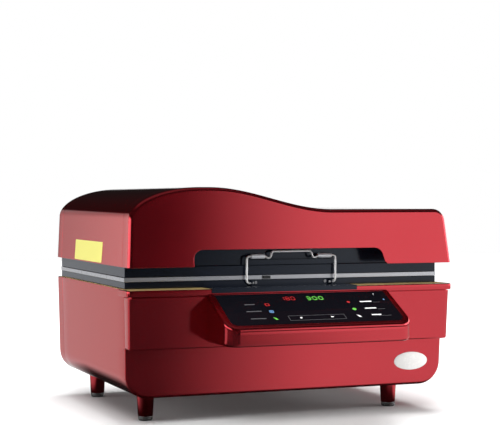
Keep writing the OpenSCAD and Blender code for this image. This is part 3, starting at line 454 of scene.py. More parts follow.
# name: darker tone, lighter tone, metallic, roughness, coat, grain scale, relief
FINISH_VALUES = {
    "candy_red": ((0.56, 0.018, 0.032), (0.66, 0.028, 0.044), 0.97, 0.13, 1.0, 2600, 0.02),
    "dark_enamel": ((0.002, 0.003, 0.007), (0.004, 0.006, 0.013), 0.2, 0.2, 0.25, 700, 0.05),
    "gold_zinc": ((0.72, 0.5, 0.17), (0.86, 0.66, 0.3), 0.3, 0.4, 0.0, 160, 0.05),
    "satin_aluminium": ((0.56, 0.57, 0.61), (0.7, 0.71, 0.75), 1.0, 0.3, 0.0, 260, 0.03),
    "brushed_plate": ((0.5, 0.51, 0.53), (0.66, 0.67, 0.69), 1.0, 0.33, 0.0, 220, 0.04),
    "bright_wire": ((0.74, 0.74, 0.75), (0.88, 0.88, 0.88), 0.6, 0.22, 0.0, 500, 0.02),
    "sleeve_metal": ((0.62, 0.64, 0.68), (0.8, 0.82, 0.86), 0.3, 0.3, 0.0, 420, 0.05),
    "spring_steel": ((0.3, 0.3, 0.32), (0.46, 0.46, 0.48), 1.0, 0.3, 0.0, 380, 0.05),
    "silicone": ((0.4, 0.385, 0.35), (0.5, 0.48, 0.44), 0.0, 0.4, 0.0, 420, 0.12),
    "black_rubber": ((0.012, 0.012, 0.013), (0.028, 0.028, 0.03), 0.0, 0.6, 0.0, 900, 0.25),
    "grey_foot": ((0.1, 0.1, 0.1), (0.17, 0.17, 0.17), 0.6, 0.25, 0.4, 600, 0.08),
    "touch_glass": ((0.002, 0.002, 0.003), (0.004, 0.004, 0.006), 0.0, 0.05, 0.0, 80, 0.0),
    "white_enamel": ((0.76, 0.76, 0.74), (0.86, 0.86, 0.84), 0.0, 0.25, 0.8, 300, 0.03),
    "yellow_film": ((0.7, 0.65, 0.14), (0.75, 0.71, 0.18), 0.0, 0.5, 0.0, 500, 0.04),
    "board_green": ((0.01, 0.12, 0.03), (0.02, 0.2, 0.06), 0.0, 0.4, 0.3, 700, 0.1),
    "cast_grey": ((0.08, 0.085, 0.095), (0.14, 0.145, 0.16), 0.5, 0.5, 0.0, 420, 0.5),
    "turned_brass": ((0.55, 0.38, 0.12), (0.68, 0.5, 0.2), 1.0, 0.28, 0.0, 300, 0.05),
    "moulded_black": ((0.012, 0.012, 0.014), (0.025, 0.025, 0.028), 0.0, 0.45, 0.0, 1100, 0.2),
    "switch_red": ((0.55, 0.02, 0.015), (0.68, 0.04, 0.03), 0.0, 0.22, 0.5, 500, 0.03),
    "wool_board": ((0.6, 0.56, 0.46), (0.8, 0.77, 0.68), 0.0, 0.95, 0.0, 160, 1.0),
    "burnt_steel": ((0.16, 0.12, 0.1), (0.3, 0.25, 0.22), 1.0, 0.38, 0.0, 300, 0.08),
    "mark_red": ((0.3, 0.008, 0.01), (0.4, 0.014, 0.014), 0.0, 0.4, 0.0, 900, 0.0),
    "mark_green": ((0.07, 0.36, 0.04), (0.13, 0.46, 0.06), 0.0, 0.4, 0.0, 900, 0.0),
    "mark_blue": ((0.08, 0.2, 0.4), (0.13, 0.28, 0.5), 0.0, 0.4, 0.0, 900, 0.0),
    "mark_white": ((0.7, 0.7, 0.7), (0.82, 0.82, 0.82), 0.0, 0.4, 0.0, 900, 0.0),
    "mark_grey": ((0.05, 0.05, 0.055), (0.08, 0.08, 0.085), 0.0, 0.4, 0.0, 900, 0.0),
}
FINISH = {
    name: finish_material(name, *values, name in BRUSHED, SPECIAL.get(name, {}))
    for name, values in FINISH_VALUES.items()
}
print("finishes:", len(FINISH))

# %% [markdown]
# The imported record names a material slot for every solid. The slot gives each one its finish, and the new
# pieces below take theirs from the same table, so that a skin and the solid that it stands for agree, save
# where a piece is given a finish of its own.

# %% Slots
SLOT_FINISH = {
    "red_paint": "candy_red", "red_cover": "candy_red", "dark_frame": "dark_enamel", "gold_deck": "gold_zinc",
    "aluminium": "satin_aluminium", "plate": "brushed_plate", "steel": "spring_steel", "chrome": "bright_wire",
    "silicone": "silicone", "black_rubber": "black_rubber", "grey_tip": "grey_foot", "touch_glass": "touch_glass",
    "board": "board_green", "white_badge": "white_enamel", "yellow_label": "yellow_film", "brass": "turned_brass",
    "black_plastic": "moulded_black", "switch_red": "switch_red", "motor": "cast_grey", "wool": "wool_board",
    "heater": "burnt_steel", "light_metal": "brushed_plate",
}
slot_of = {row["node"]: row["material_slot"] for row in frame["record"]["subparts"]}
for node, node_object in nodes.items():
    node_object.data.materials.clear()
    node_object.data.materials.append(FINISH[SLOT_FINISH[slot_of[node]]])
print("slots:", len(SLOT_FINISH))

# %% [markdown]
# Everything below is drawn in millimetres, with x to the right, y from the front rim backwards and z up
# from the floor, as the maker's drawing would be. One function turns these into metres in the shared frame.

# %% Millimetres to metres
RIM_TO_MIDDLE = 203.5


def to_frame(points):
    """Drawing millimetres to metres of the shared frame: y loses the distance from the rim to the middle."""
    return (np.asarray(points, dtype=float) - (0.0, RIM_TO_MIDDLE, 0.0)) * MM

# %% [markdown]
# A bent sheet or a moulded cover is a grid of points: each row is the same outline, moved in and back a
# little more. Neighbouring rows and columns are joined by quads. A flat end is one polygon on the first or
# last row.

# %% Grids to meshes
def grid_quads(rows, columns, closed=False):
    """Quads between neighbouring rows and columns: a, a + 1, a + 1 + columns, a + columns."""
    across = columns if closed else columns - 1
    row, column = np.mgrid[0:rows - 1, 0:across]
    first = row * columns + column
    second = row * columns + (column + 1) % columns
    return np.stack([first, second, second + columns, first + columns], axis=-1).reshape(-1, 4)


def points_out(vertices, faces):
    """True if the faces look away from the middle: the sum of normal times offset is positive."""
    quads = np.array([face[:4] if len(face) > 3 else (*face, face[2]) for face in faces if len(face) < 5])
    corners = vertices[quads]
    normal = np.cross(corners[:, 2] - corners[:, 0], corners[:, 3] - corners[:, 1])
    offset = corners.mean(axis=1) - vertices.mean(axis=0)
    return float((normal * offset).sum()) > 0

# %% [markdown]
# Each piece gets the same last steps: its finish, smooth faces with sharp edges, a wall that grows inwards
# from the skin, rounded edges, and the body that it moves with. The wall and the edges are modifiers,
# because a skin is easier to draw than both sides of a sheet.

# %% Pieces
MERGE_DISTANCE = 1e-6


def dress(name, mesh, slot, body, nodes_replaced=(), finish=None, wall=0.0, edge=0.0, smooth=40.0,
          segments=3, edge_from=50.0):
    """Makes an object of a mesh. Lengths are in millimetres and angles in degrees."""
    mesh.materials.append(FINISH[finish or SLOT_FINISH[slot]])
    mesh.polygons.foreach_set("use_smooth", np.ones(len(mesh.polygons), dtype=bool))
    mesh.set_sharp_from_angle(angle=np.radians(smooth))
    piece = bpy.data.objects.new(name, mesh)
    bpy.context.scene.collection.objects.link(piece)
    if wall:
        thick = piece.modifiers.new("wall", "SOLIDIFY")
        thick.thickness = wall * MM
        thick.offset = -1.0
        thick.use_even_offset = True
        thick.use_quality_normals = True
    if edge:
        soften = piece.modifiers.new("rounded_edges", "BEVEL")
        soften.width = edge * MM
        soften.segments = segments
        soften.limit_method = "ANGLE"
        soften.angle_limit = np.radians(edge_from)
        soften.use_clamp_overlap = True
    shade = piece.modifiers.new("flat_faces_stay_flat", "WEIGHTED_NORMAL")
    shade.keep_sharp = True
    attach(piece, body)
    if nodes_replaced:
        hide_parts(*nodes_replaced)
    return piece


def add_piece(name, vertices, faces, *rest, outward=None, **options):
    """A piece from vertices in millimetres and faces, which are turned over if they look inwards."""
    mesh = bpy.data.meshes.new(name)
    vertices = np.asarray(vertices, dtype=float)
    if outward is None:
        outward = points_out(vertices, faces)
    faces = [tuple(int(k) for k in (face if outward else face[::-1])) for face in faces]
    mesh.from_pydata(to_frame(vertices).tolist(), [], faces)
    work = bmesh.new()
    work.from_mesh(mesh)
    bmesh.ops.remove_doubles(work, verts=work.verts, dist=MERGE_DISTANCE)
    work.to_mesh(mesh)
    work.free()
    return dress(name, mesh, *rest, **options)


def add_grid(name, grid, *rest, closed=False, caps=(), **options):
    """A piece from a grid of rows, with a flat polygon on the first row, the last row or both."""
    grid = np.asarray(grid, dtype=float)
    rows, columns = grid.shape[:2]
    faces = [tuple(face) for face in grid_quads(rows, columns, closed)]
    if "first" in caps:
        faces.append(tuple(range(columns))[::-1])
    if "last" in caps:
        faces.append(tuple(range((rows - 1) * columns, rows * columns)))
    return add_piece(name, grid.reshape(-1, 3), faces, *rest, **options)

# %% [markdown]
# A cover, a plate or a panel starts as an outline, drawn with straight runs and arcs as on paper. Three
# moves then cover most of the machine: move the outline in along its own normals, round the corners of a
# box, and lift a plan to a height.

# %% Outlines
def arc(centre, radius, start, stop, steps):
    """Points on a part of a circle: centre plus radius times the cosine and sine of an even run of angles."""
    angle = np.radians(np.linspace(start, stop, steps + 1))
    return np.stack([centre[0] + radius * np.cos(angle), centre[1] + radius * np.sin(angle)], axis=-1)


def moved_in(outline, amount):
    """The outline moved inwards by an amount along its own normals, with its two ends kept at their height."""
    along = np.gradient(outline, axis=0)
    normal = np.stack([along[:, 1], -along[:, 0]], axis=-1)
    normal /= np.linalg.norm(normal, axis=1, keepdims=True)
    if ((outline - outline.mean(axis=0)) * normal).sum() > 0:
        normal = -normal
    inner = outline + normal * amount
    inner[[0, -1], 1] = outline[[0, -1], 1]
    return inner


def rounded_plan(x0, x1, y0, y1, radius, steps=8):
    """Plan of a box with two rounded front corners, from its left rear corner round to its right rear one."""
    radius = max(radius, 0.05)
    left = arc((x0 + radius, y0 + radius), radius, 180, 270, steps)
    right = arc((x1 - radius, y0 + radius), radius, 270, 360, steps)
    return np.concatenate([[(x0, y1)], left, right, [(x1, y1)]])


def rounded_loop(x0, x1, y0, y1, radius, steps=6):
    """Closed plan of a box with four rounded corners."""
    corners = [((x0 + radius, y0 + radius), 180), ((x1 - radius, y0 + radius), 270),
               ((x1 - radius, y1 - radius), 0), ((x0 + radius, y1 - radius), 90)]
    return np.concatenate([arc(centre, radius, start, start + 90, steps) for centre, start in corners])


def lifted(plan, z):
    """The points of a plan with their heights: one height for all, or one for each point."""
    return np.column_stack([plan, np.broadcast_to(z, len(plan))])

# %% [markdown]
# The lid's outline rises from the left foot over a wide quarter of an ellipse, runs level for a moment,
# then falls along half a cosine wave to the flat right part, and ends in a small quarter circle.

# %% Lid outline
Z_LID, Z_FLAT, Z_HUMP = 267.7, 362.7, 400.2
LID_HALF, LID_TAPER, LID_LEAN, REAR_LEAN = 298.6, 4.16, 8.6, 6.5
LID_FRONT, LID_REAR, LID_WRAP = 1.2, 486.0, 36.0
SHOULDER = (128.0, 55.0)
SLOPE_W, CREST_W, RIGHT_R = 225.0, 15.0, 22.0
LID_EDGE = 7.0
BEND_STEPS, SLOPE_STEPS, LEVEL_STEPS, CORNER_STEPS = 32, 40, 9, 12


def lid_half_width(z):
    """Half the lid's width, which shrinks with height by the tangent of its lean."""
    return LID_HALF - (z - Z_LID) * np.tan(np.radians(LID_TAPER))


def lid_outline(side_steps=14):
    """Points from the lower left corner over the hump to the lower right corner, as x and z.

    The shoulder is (a cos t, b sin t), and the slope falls by half its drop times one minus the cosine.
    """
    z_left, z_right = Z_HUMP - SHOULDER[1], Z_FLAT - RIGHT_R
    x_shoulder = -lid_half_width(z_left) + SHOULDER[0]
    left_z = np.linspace(Z_LID, z_left, side_steps, endpoint=False)
    left = np.stack([-lid_half_width(left_z), left_z], axis=-1)
    angle = np.radians(np.linspace(180, 90, BEND_STEPS + 1))
    bend = np.stack([x_shoulder + SHOULDER[0] * np.cos(angle), z_left + SHOULDER[1] * np.sin(angle)], axis=-1)
    share = np.linspace(0, 1, SLOPE_STEPS + 1)
    x_slope = x_shoulder + CREST_W
    slope_z = Z_HUMP - (Z_HUMP - Z_FLAT) * (1 - np.cos(np.pi * share)) / 2
    slope = np.stack([x_slope + SLOPE_W * share, slope_z], axis=-1)
    x_right = lid_half_width(z_right) - RIGHT_R
    level_x = np.linspace(x_slope + SLOPE_W, x_right, LEVEL_STEPS + 1)[1:-1]
    level = np.stack([level_x, np.full_like(level_x, Z_FLAT)], axis=-1)
    corner = arc((x_right, z_right), RIGHT_R, 90, 0, CORNER_STEPS)
    right_z = np.linspace(z_right, Z_LID, side_steps)[1:]
    right = np.stack([lid_half_width(right_z), right_z], axis=-1)
    return np.concatenate([left, bend, slope, level, corner, right])


def lid_front_at(z):
    """Where the leaning front plane of the lid stands at a height."""
    return LID_FRONT + (z - Z_LID) * np.tan(np.radians(LID_LEAN))


def lid_rear_at(z):
    """Where the leaning rear plane of the lid stands at a height."""
    return LID_REAR + (z - Z_LID) * np.tan(np.radians(REAR_LEAN))


outline = lid_outline()
print("lid outline points:", len(outline))

# %% [markdown]
# A cover is a tray stood on its side: a flat face, a rounded edge, and a wall that runs back along the
# outline. On the edge, an angle goes from the face to the wall. The outline is moved in by the radius times
# one minus its sine, and back by the radius times one minus its cosine.

# %% Tray
def tray_grid(outline, face_at, back_sign, radius, wall_end, steps=7):
    """Rows of a tray, from the edge of its face over the rounded edge to the end of its wall."""
    rows = []
    for angle in np.linspace(0, np.pi / 2, steps):
        inner = moved_in(outline, radius * (1 - np.sin(angle)))
        back = radius * (1 - np.cos(angle))
        rows.append(np.stack([inner[:, 0], face_at(inner[:, 1]) + back_sign * back, inner[:, 1]], axis=-1))
    last = outline
    for part in (0.5, 1.0):
        start = face_at(last[:, 1]) + back_sign * radius
        end = wall_end(last[:, 1])
        rows.append(np.stack([last[:, 0], start + (end - start) * part, last[:, 1]], axis=-1))
    return np.array(rows)


def add_tray(name, outline, face_at, back_sign, radius, wall_end, *rest, extra=None, **options):
    """A tray piece whose face is one flat polygon, with extra points along its lower edge if it has a notch."""
    grid = tray_grid(outline, face_at, back_sign, radius, wall_end)
    rows, columns = grid.shape[:2]
    faces = [tuple(face) for face in grid_quads(rows, columns)]
    vertices = grid.reshape(-1, 3)
    rim = list(range(columns))
    if extra is not None:
        low = np.stack([extra[:, 0], face_at(extra[:, 1]), extra[:, 1]], axis=-1)
        rim += list(range(len(vertices), len(vertices) + len(low)))
        vertices = np.concatenate([vertices, low])
    faces.append(tuple(rim[::-1]))
    return add_piece(name, vertices, faces, *rest, **options)

# %% [markdown]
# The lid's shell is three pieces: a moulded front cover with a shallow notch along its lower edge, a bent
# middle sheet, and a moulded rear cover. One smooth skin over all three would be simpler, but the thin
# seams where they meet are what shows how the real lid is put together.

# %% Lid skins
COVER_WALL, COVER_EDGE, SHEET_WALL, SHEET_EDGE, SEAM = 2.5, 0.6, 1.5, 0.3, 0.4
NOTCH_RIGHT, NOTCH_LEFT, NOTCH_R, NOTCH_UP, NOTCH_STEPS = 148.0, -169.0, 16.0, 12.0, 8
LID_ROWS = 24
notch = np.concatenate([
    [(NOTCH_RIGHT + 24.0, Z_LID), (NOTCH_RIGHT + 19.0, Z_LID + 4.0)],
    arc((NOTCH_RIGHT, Z_LID + NOTCH_UP), NOTCH_R, 10, 90, NOTCH_STEPS),
    arc((NOTCH_LEFT, Z_LID + NOTCH_UP), NOTCH_R, 90, 180, NOTCH_STEPS),
    [(NOTCH_LEFT - NOTCH_R, Z_LID)],
])
lid_front = add_tray(
    "lid_front_skin", outline, lid_front_at, 1.0, LID_EDGE, lambda z: lid_front_at(z) + LID_WRAP,
    "red_cover", "lid", ["lid_front_cover"], extra=notch, wall=COVER_WALL, edge=COVER_EDGE,
)
lid_rear = add_tray(
    "lid_rear_skin", outline, lid_rear_at, -1.0, LID_EDGE, lambda z: lid_rear_at(z) - LID_WRAP,
    "red_cover", "lid", ["lid_rear_cover"], wall=COVER_WALL, edge=COVER_EDGE,
)
share = np.linspace(0, 1, LID_ROWS)[:, None]
lid_start = lid_front_at(outline[:, 1]) + LID_WRAP + SEAM
lid_stop = lid_rear_at(outline[:, 1]) - LID_WRAP - SEAM
lid_y = lid_start + (lid_stop - lid_start) * share
lid_grid = np.stack(np.broadcast_arrays(outline[None, :, 0], lid_y, outline[None, :, 1]), axis=-1)
lid_middle = add_grid(
    "lid_sheet", lid_grid, "red_paint", "lid", ["lid_shell"], wall=SHEET_WALL, edge=SHEET_EDGE,
)
print("lid skins:", lid_front.name, lid_middle.name, lid_rear.name)

# %% [markdown]
# The base is bent from sheet: its section has two large rounded lower corners and sides that lean in
# towards the floor. The front is a deep upper housing that overhangs a lower panel, with a rim band round
# its top.

# %% Base outline
Z_FLOOR, Z_STEP, Z_GROOVE, Z_DECK = 49.0, 132.5, 219.9, 230.5
BASE_TOP_HALF, BASE_TAPER, BASE_LEAN, CORNER_R = 297.0, 1.37, 2.6, 40.0
FRONT_WRAP, REAR_WRAP, BASE_REAR = 31.0, 36.0, 485.0
LOW_STEP, LOW_WRAP = 32.0, 10.0
RIM_HALF, RIM_WRAP, GROOVE = 300.0, 55.0, 1.2
UPPER_FRONT, UPPER_R, RIM_R = 2.6, 10.0, 9.0
SIDE_ROWS, FLOOR_COLUMNS = 6, 12


def base_half_width(z):
    """Half the base's width, which grows with height by the tangent of its lean."""
    return BASE_TOP_HALF - (Z_DECK - z) * np.tan(np.radians(BASE_TAPER))


def base_outline(z_top, steps=12):
    """Points from the right upper edge round under the floor to the left upper edge, as x and z."""
    z_bend = Z_FLOOR + CORNER_R
    x_bend = base_half_width(z_bend) - CORNER_R
    heights = np.linspace(z_top, z_bend, SIDE_ROWS, endpoint=False)
    right = np.stack([base_half_width(heights), heights], axis=-1)
    floor_x = np.linspace(x_bend, -x_bend, FLOOR_COLUMNS)[1:-1]
    floor = np.stack([floor_x, np.full_like(floor_x, Z_FLOOR)], axis=-1)
    left = right[::-1] * (-1, 1)
    return np.concatenate([right, arc((x_bend, z_bend), CORNER_R, 0, -90, steps), floor,
                           arc((-x_bend, z_bend), CORNER_R, -90, -180, steps), left])


def upper_front_at(z):
    """The upper housing's front plane: its depth at the groove, and more below it by the tangent of the lean."""
    return UPPER_FRONT + (Z_GROOVE - z) * np.tan(np.radians(BASE_LEAN))


def lower_front_at(z):
    """The lower panel's front plane, a step behind the upper one, with the same lean."""
    return LOW_STEP + (Z_STEP - z) * np.tan(np.radians(BASE_LEAN))


print("base width in millimetres:", 2 * BASE_TOP_HALF)

# %% [markdown]
# The lower front panel is a shallow tray like the lid's covers, set back under the upper housing. Its edge
# has a smaller radius, so that the rounding ends before its short wall does.

# %% Lower front panel
LOW_PANEL_R, LOW_PANEL_EDGE, STEP_GAP = 5.0, 0.4, 0.3
lower_front = add_tray(
    "lower_front_skin", base_outline(Z_STEP - STEP_GAP), lower_front_at, 1.0, LOW_PANEL_R,
    lambda z: np.full_like(z, LOW_STEP + LOW_WRAP),
    "red_paint", "base", ["lower_front_panel"], wall=SHEET_WALL, edge=LOW_PANEL_EDGE,
)
print("lower panel:", lower_front.name)

# %% [markdown]
# The upper housing and the rim band are one moulded cover on the real machine, with a groove between them.
# Here they are two skins, each a stack of plans with rounded corners. A row of the stack is a height and
# how far the plan is moved in there, so the rounded lip, the groove and the rim's edges are a few rows
# each.

# %% Upper housing and rim band
def plan_rows(rows, half_at, front_at, back, radius):
    """Rows of a plan that follows the height: each row is a height, an inset and the rounded plan there."""
    grid = []
    for z, inset in rows:
        half = half_at(z) - inset
        grid.append(lifted(rounded_plan(-half, half, front_at(z) + inset, back, radius - inset), z))
    return np.array(grid)


HOUSING_WALL, RIM_WALL, LIP, LIP_BACK, EDGE_ROWS = 1.6, 1.2, 3.2, 20.0, 6
NECK, RIM_IN, HOUSING_TOP = 2.5 * GROOVE, 5.4, Z_GROOVE - GROOVE
lip_turn = np.linspace(0, np.pi / 2, EDGE_ROWS)
lip_rows = [(Z_STEP + LIP * (1 - np.cos(angle)), LIP * (1 - np.sin(angle))) for angle in lip_turn]
upper_rows = [(Z_STEP, LIP_BACK), *lip_rows, (150.0, 0.0), (170.0, 0.0), (190.0, 0.0), (210.0, 0.0),
              (HOUSING_TOP - 1.2, 0.0), (HOUSING_TOP - 0.4, 0.35), (HOUSING_TOP, 1.2), (HOUSING_TOP, NECK),
              (Z_GROOVE + 0.4, NECK)]
rim_rows = [(Z_GROOVE, RIM_IN), (Z_GROOVE, 1.2), (Z_GROOVE + 0.35, 0.35), (Z_GROOVE + 1.2, 0.0),
            (Z_GROOVE + 5.0, 0.0), (Z_DECK - 1.6, 0.0), (Z_DECK - 0.8, 0.2), (Z_DECK - 0.25, 0.75),
            (Z_DECK, 1.6), (Z_DECK, RIM_IN)]
upper_front = add_grid(
    "upper_front_skin", plan_rows(upper_rows, base_half_width, upper_front_at, FRONT_WRAP, UPPER_R),
    "red_cover", "base", ["base_front_cover"], wall=HOUSING_WALL,
)
rim_band = add_grid(
    "rim_band", plan_rows(rim_rows, lambda z: RIM_HALF, lambda z: 0.0, RIM_WRAP, RIM_R),
    "red_cover", "base", ["base_front_cover"], wall=RIM_WALL,
)
print("upper housing:", upper_front.name, rim_band.name)

# %% [markdown]
# One bent sheet makes both sides and the floor of the base. Its front edge steps back where the lower panel
# is, so the section gets two points close together at the height of the step, and the edge can jump between
# them.

# %% Side sheet of the base
JOINT_GAP, STEP_ABOVE, STEP_MIDDLE, STEP_BELOW, SHEET_ROWS = 0.4, 0.3, 0.25, 0.2, 12
section = base_outline(Z_DECK)
heights = section[:, 1]
step_low = np.argmax(heights < Z_STEP)
step_high = len(section) - np.argmax(heights[::-1] < Z_STEP)
cut_low = [(base_half_width(z), z) for z in (Z_STEP + STEP_ABOVE, Z_STEP + STEP_BELOW)]
cut_high = [(-x, z) for x, z in cut_low[::-1]]
runs = (section[:step_low], cut_low, section[step_low:step_high], cut_high, section[step_high:])
section = np.concatenate(runs)
above = section[:, 1] > Z_STEP + STEP_MIDDLE
shell_start = np.where(above, FRONT_WRAP + JOINT_GAP, LOW_STEP + LOW_WRAP + JOINT_GAP)
shell_stop = BASE_REAR - REAR_WRAP - JOINT_GAP
shell_y = shell_start + (shell_stop - shell_start) * np.linspace(0, 1, SHEET_ROWS)[:, None]
shell_grid = np.stack(np.broadcast_arrays(section[None, :, 0], shell_y, section[None, :, 1]), axis=-1)
base_sheet = add_grid("base_sheet", shell_grid, "red_paint", "base", ["base_shell"], wall=SHEET_WALL)
print("side sheet:", base_sheet.name, "with", len(section), "points in its section")

# %% [markdown]
# The control nose is a moulded box with rounded front corners. Its top is cut by a plane that falls towards
# the user, so the height of a point on the top depends on how far forward it stands.

# %% Nose sizes
NOSE_X, NOSE_HALF, NOSE_REACH, NOSE_R, NOSE_STEPS = 4.0, 167.0, 97.0, 22.0, 14
NOSE_BACK_Z, NOSE_DROP, NOSE_LOW = 222.9, 50.0, 141.9
BEZEL_T, BEZEL_SIDE, BEZEL_FRONT, GLASS_R = 5.5, 11.5, 8.2, 12.0
SLOPE = np.arctan(NOSE_DROP / NOSE_REACH)


def nose_top(y):
    """Height of the sloping top at a depth: it drops by a fixed amount over the reach."""
    return NOSE_BACK_Z + NOSE_DROP * y / NOSE_REACH


def nose_plan(inset, back):
    """Plan of the nose, moved in by an inset, up to a depth at the back."""
    left, right = NOSE_X - NOSE_HALF + inset, NOSE_X + NOSE_HALF - inset
    return rounded_plan(left, right, -NOSE_REACH + inset, back, NOSE_R - inset, NOSE_STEPS)


print("slope of the nose in degrees:", round(float(np.degrees(SLOPE)), 1))

# %% [markdown]
# The housing is the lower part of the nose. Its rows start under the floor, go round a soft lower edge and
# climb to the sloping top, where the last row moves in a little to leave a fine line under the bezel.

# %% Nose housing
LOW_EDGE, NOSE_FLOOR, NOSE_WALL, FACE_GAP, LINE_GAP, LINE_IN = 7.0, 24.0, 2.4, 0.2, 0.4, 0.8
low_back = upper_front_at(NOSE_LOW) - FACE_GAP
wall_low = NOSE_LOW + LOW_EDGE
housing_rows = [lifted(nose_plan(NOSE_FLOOR, low_back), NOSE_LOW)]
for angle in np.linspace(0, np.pi / 2, EDGE_ROWS):
    plan = nose_plan(LOW_EDGE * (1 - np.sin(angle)), low_back)
    housing_rows.append(lifted(plan, NOSE_LOW + LOW_EDGE * (1 - np.cos(angle))))
for climb, inset in ((0.35, 0.0), (0.7, 0.0), (0.97, 0.0), (1.0, LINE_IN)):
    plan = nose_plan(inset, upper_front_at(Z_GROOVE))
    top = nose_top(plan[:, 1]) - BEZEL_T - LINE_GAP
    housing_rows.append(lifted(plan, wall_low + (top - wall_low) * climb))
nose_housing = add_grid("nose_housing", housing_rows, "red_cover", "base", ["control_housing"], wall=NOSE_WALL)
print("nose housing:", nose_housing.name)

# %% [markdown]
# The bezel is a closed ring: its section runs from the line over the housing, up the outside, over a
# rounded edge to the flat top, and down into the recess of the glass. Repeating the first row at the end
# closes it.

# %% Nose bezel
def nose_loop(side, front, back, radius):
    """Closed plan round the nose: the rounded front, then straight across the back."""
    x0, x1 = NOSE_X - NOSE_HALF + side, NOSE_X + NOSE_HALF - side
    plan = rounded_plan(x0, x1, -NOSE_REACH + front, back, radius, NOSE_STEPS)
    across = np.linspace(x1, x0, 12)[1:-1]
    return np.concatenate([plan, lifted(across[:, None], back)])


BEZEL_EDGE, BEZEL_BACK, BACK_TAPER, GLASS_BACK = 4.0, -0.4, 0.2, -2.0
bezel_rows = []
for drop, inset in ((BEZEL_T, 6.0), (BEZEL_T, 0.7), (BEZEL_T - 0.7, 0.0)):
    loop = nose_loop(inset, inset, BEZEL_BACK, NOSE_R - inset)
    bezel_rows.append(lifted(loop, nose_top(loop[:, 1]) - drop))
for angle in np.linspace(0.1, np.pi / 2, EDGE_ROWS):
    inset = BEZEL_EDGE * (1 - np.cos(angle))
    loop = nose_loop(inset, inset, BEZEL_BACK - BACK_TAPER * inset, NOSE_R - inset)
    bezel_rows.append(lifted(loop, nose_top(loop[:, 1]) - BEZEL_EDGE * (1 - np.sin(angle))))
for drop, grow in ((0.0, -1.2), (0.35, -0.35), (1.2, 0.0), (3.4, 0.0), (3.4, 3.0)):
    loop = nose_loop(BEZEL_SIDE + grow, BEZEL_FRONT + grow, GLASS_BACK - grow, GLASS_R - grow)
    bezel_rows.append(lifted(loop, nose_top(loop[:, 1]) - drop))
bezel_grid = np.array(bezel_rows + bezel_rows[:1])
nose_bezel = add_grid("nose_bezel", bezel_grid, "red_cover", "base", ["control_bezel"], closed=True)
print("nose bezel:", nose_bezel.name, "with", len(bezel_rows), "rows")

# %% [markdown]
# The touch glass is a flat plate in the recess, a little smaller than it, with a fine bevel round its face.

# %% Touch glass
GLASS_GAP, GLASS_DOWN = 0.25, 0.75
glass_rows = []
for drop, inset in ((3.2, GLASS_GAP), (1.1, GLASS_GAP), (GLASS_DOWN, 0.6)):
    loop = nose_loop(BEZEL_SIDE + inset, BEZEL_FRONT + inset, GLASS_BACK - 0.2 - inset, GLASS_R - inset)
    glass_rows.append(lifted(loop, nose_top(loop[:, 1]) - drop))
touch_panel = add_grid(
    "touch_panel", glass_rows, "touch_glass", "base", ["control_glass"], closed=True, caps=("first", "last"),
)
print("touch glass:", touch_panel.name)

# %% [markdown]
# Behind the glass, small printed marks show what each key does. They are flat plates a tenth of a
# millimetre over the glass, placed by how far they stand to the side of its middle and up its slope. They
# could be a pattern in the glass's material, but small shapes stay sharp from any distance.

# %% Marks on the glass
MARK_LOW, MARK_HIGH = 0.02, 0.14


def on_panel(points, lift):
    """Panel coordinates to the drawing: across, then up the slope from its front edge, lifted off the glass."""
    points = np.asarray(points, dtype=float)
    y = -NOSE_REACH + points[:, 1] * np.cos(SLOPE)
    return np.column_stack([NOSE_X + points[:, 0], y, nose_top(y) - GLASS_DOWN + lift])


def add_marks(name, shapes, finish):
    """One piece that holds all the marks of a colour: each is a top, a bottom and a quad for every side."""
    vertices, faces, start = [], [], 0
    for shape in shapes:
        count = len(shape)
        vertices += [on_panel(shape, MARK_LOW), on_panel(shape, MARK_HIGH)]
        faces.append(tuple(range(start + count, start + 2 * count)))
        faces.append(tuple(range(start + count - 1, start - 1, -1)))
        for k in range(count):
            after = start + (k + 1) % count
            faces.append((start + k, after, after + count, start + count + k))
        start += 2 * count
    return add_piece(name, np.concatenate(vertices), faces, "touch_glass", "base", finish=finish, outward=True)


def disc(u, v, radius, steps=20):
    """A round mark."""
    return arc((u, v), radius, 0, 360 - 360 / steps, steps - 1)


def bar(u0, u1, v, height):
    """A straight mark from one end to the other."""
    return np.array([(u0, v - height / 2), (u1, v - height / 2), (u1, v + height / 2), (u0, v + height / 2)])


def ring_bars(u, v, half, stroke=1.3):
    """A square outline of four bars."""
    level = [bar(u - half, u + half, v + side * half, stroke) for side in (-1, 1)]
    upright = [bar(u + side * half - stroke / 2, u + side * half + stroke / 2, v, 2 * half) for side in (-1, 1)]
    return level + upright


def leaf(u, v, half):
    """A slanted leaf-shaped mark."""
    corners = np.array([(-1.0, 1.0), (-0.2, -1.0), (1.0, -1.0), (0.1, 0.6)])
    return (u, v) + half * corners

# %% [markdown]
# Two numbers stand at the top of the panel, in the seven bars of a usual display. Each bar is a line of a
# unit cell, so a number of any width, height and stroke comes from one short table.

# %% Seven-segment numbers
SEGMENTS = {
    "top": ((0.15, 1.0), (0.85, 1.0)), "middle": ((0.15, 0.5), (0.85, 0.5)),
    "bottom": ((0.15, 0.0), (0.85, 0.0)),
    "upper_left": ((0.0, 0.93), (0.0, 0.57)), "upper_right": ((1.0, 0.93), (1.0, 0.57)),
    "lower_left": ((0.0, 0.43), (0.0, 0.07)), "lower_right": ((1.0, 0.43), (1.0, 0.07)),
}
DIGITS = {
    "0": ("top", "bottom", "upper_left", "upper_right", "lower_left", "lower_right"),
    "1": ("upper_right", "lower_right"),
    "3": ("top", "middle", "bottom", "upper_right", "lower_right"),
    "8": tuple(SEGMENTS),
}


